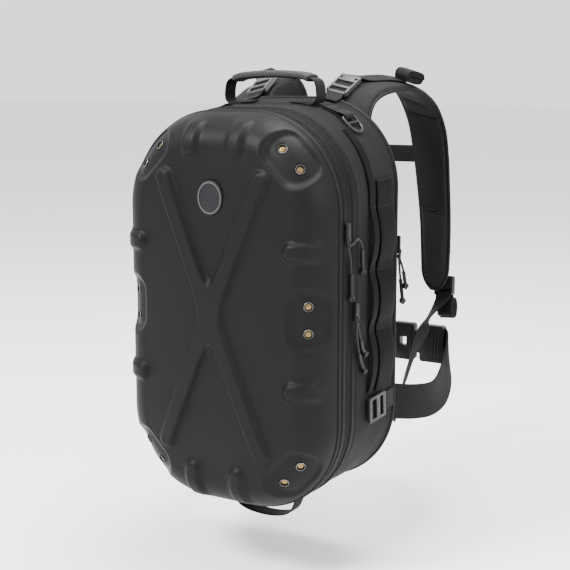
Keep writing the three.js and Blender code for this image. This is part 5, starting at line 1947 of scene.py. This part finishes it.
@dataclass
class ZipPulls:
    """Zip sliders, each with a clamp and two braided cords that end in knots."""

    length: float = 24
    thickness: float = 5
    cord_radius: float = 1.5
    turn_radius: float = 1.9
    sleeve_radius: float = 2.5
    clamp_half: float = 2.4
    knot_radius: float = 3.2
    pulls: tuple = (
        Pull("front", BAG.front_coil_y, 110, 2.1, 9, (
            ((16, 95, 7.5), (27, 100, 7.5), (37, 97, 6), (44, 88, 5), (47, 70, 4), (48, 57, 4)),
            ((12, 80, 6), (17, 66, 4.5), (19, 48, 4), (19, 28, 4)))),
        Pull("rear", BAG.rear_coil_y, 8, 2.1, 9, (
            ((37, -18, 5.5), (43, -30, 5), (49, -42, 4), (56, -50, 4.5)),
            ((32, -24, 5.5), (37, -40, 5), (45, -58, 4), (54, -72, 4.5)))),
        Pull("back", BAG.panel_front + 3.5, 79, GAP - BAG.piping * 0.6, 4.5, (
            ((155, 46, 7), (157, 24, 10)), ((155, 40, 2.6), (155, 20, 5), (155, 4, 7)))))

    def off_side(self, y: float, z: float, out: float) -> Array:
        """Return a point off the right side wall."""
        return BAG.on_wall(y, z - BAG.at(y)[3], out)[0]

    def knot(self, name: str, centre: Array, ahead: Array) -> Piece:
        """Build an overhand knot: a fat turn of cord round a core."""
        side = unit(np.cross(ahead, vec(1, 0.2, 0.1)))
        up = np.cross(ahead, side)
        points = [centre + ahead * 1.8 * math.sin(2 * a) + 2.7 * (side * math.cos(a) + up * math.sin(a))
                  for a in np.linspace(0, math.tau, 40, endpoint=False)]
        turn = tube(name, np.array(points), self.turn_radius, CORD, 10, closed=True)
        line = np.array([centre - ahead * 3.6, centre, centre + ahead * 5.2])
        return joined(name, [turn, tube(f"{name}_core", line, self.turn_radius, CORD, 10)])

    def build_pull(self, pull: Pull) -> None:
        """Build one slider and its cords."""
        dressed_copy(f"zip_slider_{pull.word}", f"slider_{pull.word}", PAINTED, 0.9, "sliders")
        lift = pull.out + self.knot_radius + GAP
        start = self.off_side(pull.y, pull.z - self.length / 2 - GAP - self.knot_radius, lift)
        top = self.off_side(pull.y, pull.z - self.length / 2 + 5, pull.out + self.thickness + 0.6)
        across = vec(0, min(pull.width, 6) / 2.2, 0)
        ring = [(start + top) / 2 + (top - start) / 2 * math.cos(a) + across * math.sin(a)
                for a in np.linspace(0, math.tau, 28, endpoint=False)]
        settle(tube(f"pull_ring_{pull.word}", np.array(ring), 1.25, CORD, 10, closed=True), "cords")
        rise = vec(0, 0, self.clamp_half)
        clamp = tube(f"pull_clamp_{pull.word}", np.array([start + rise, start - rise]), 2.7, ACETAL_DARK, 14)
        settle(clamp, "cords")
        for number, rows in enumerate(pull.cords, 1):
            first = start + vec(0, 0.9 if number == 1 else -0.9, -1.6)
            points = np.array([first, *[self.off_side(*row) for row in rows]])
            path = np.array([catmull(points, t) for t in np.linspace(0, 1, 60)])
            steps = np.linalg.norm(np.diff(path, axis=0), axis=1)
            length = float(steps.sum()) * MM
            cord = tube(f"pull_cord_{pull.word}_{number}", path, self.cord_radius, CORD, 12)
            far = int(np.searchsorted(np.cumsum(steps[::-1]), min(30, length / MM * 0.5)))
            sleeve_path = path[-far - 1 : -3]
            sleeve = tube(
                f"pull_sleeve_{pull.word}_{number}", sleeve_path, self.sleeve_radius, ACETAL_DARK, 14)
            knot = self.knot(f"pull_knot_{pull.word}_{number}", path[-1], unit(path[-1] - path[-4]))
            settle(sleeve, "cords")
            settle(knot, "cords")
            settle(cord, "cords", *([f"zip_cords_{pull.word}"] if number == 1 else []))
            log.info("cord %s %d: %.1f mm", pull.word, number, length / MM)

    def build(self) -> None:
        """Build all pulls."""
        for pull in self.pulls:
            self.build_pull(pull)


def main() -> None:
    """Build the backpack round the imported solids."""
    logging.basicConfig(level=logging.INFO, format="%(message)s")
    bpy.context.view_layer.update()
    studio = Studio()
    studio.camera()
    ZipPulls().build()
    repeats = Repeats()
    FrontShell().build()
    Body(repeats).build()
    SideLadders(repeats).build()
    Rings(repeats).build()
    Carry(repeats).build()
    Harness(repeats).build()
    studio.floor()
    studio.lights()


if __name__ == "__main__":
    main()
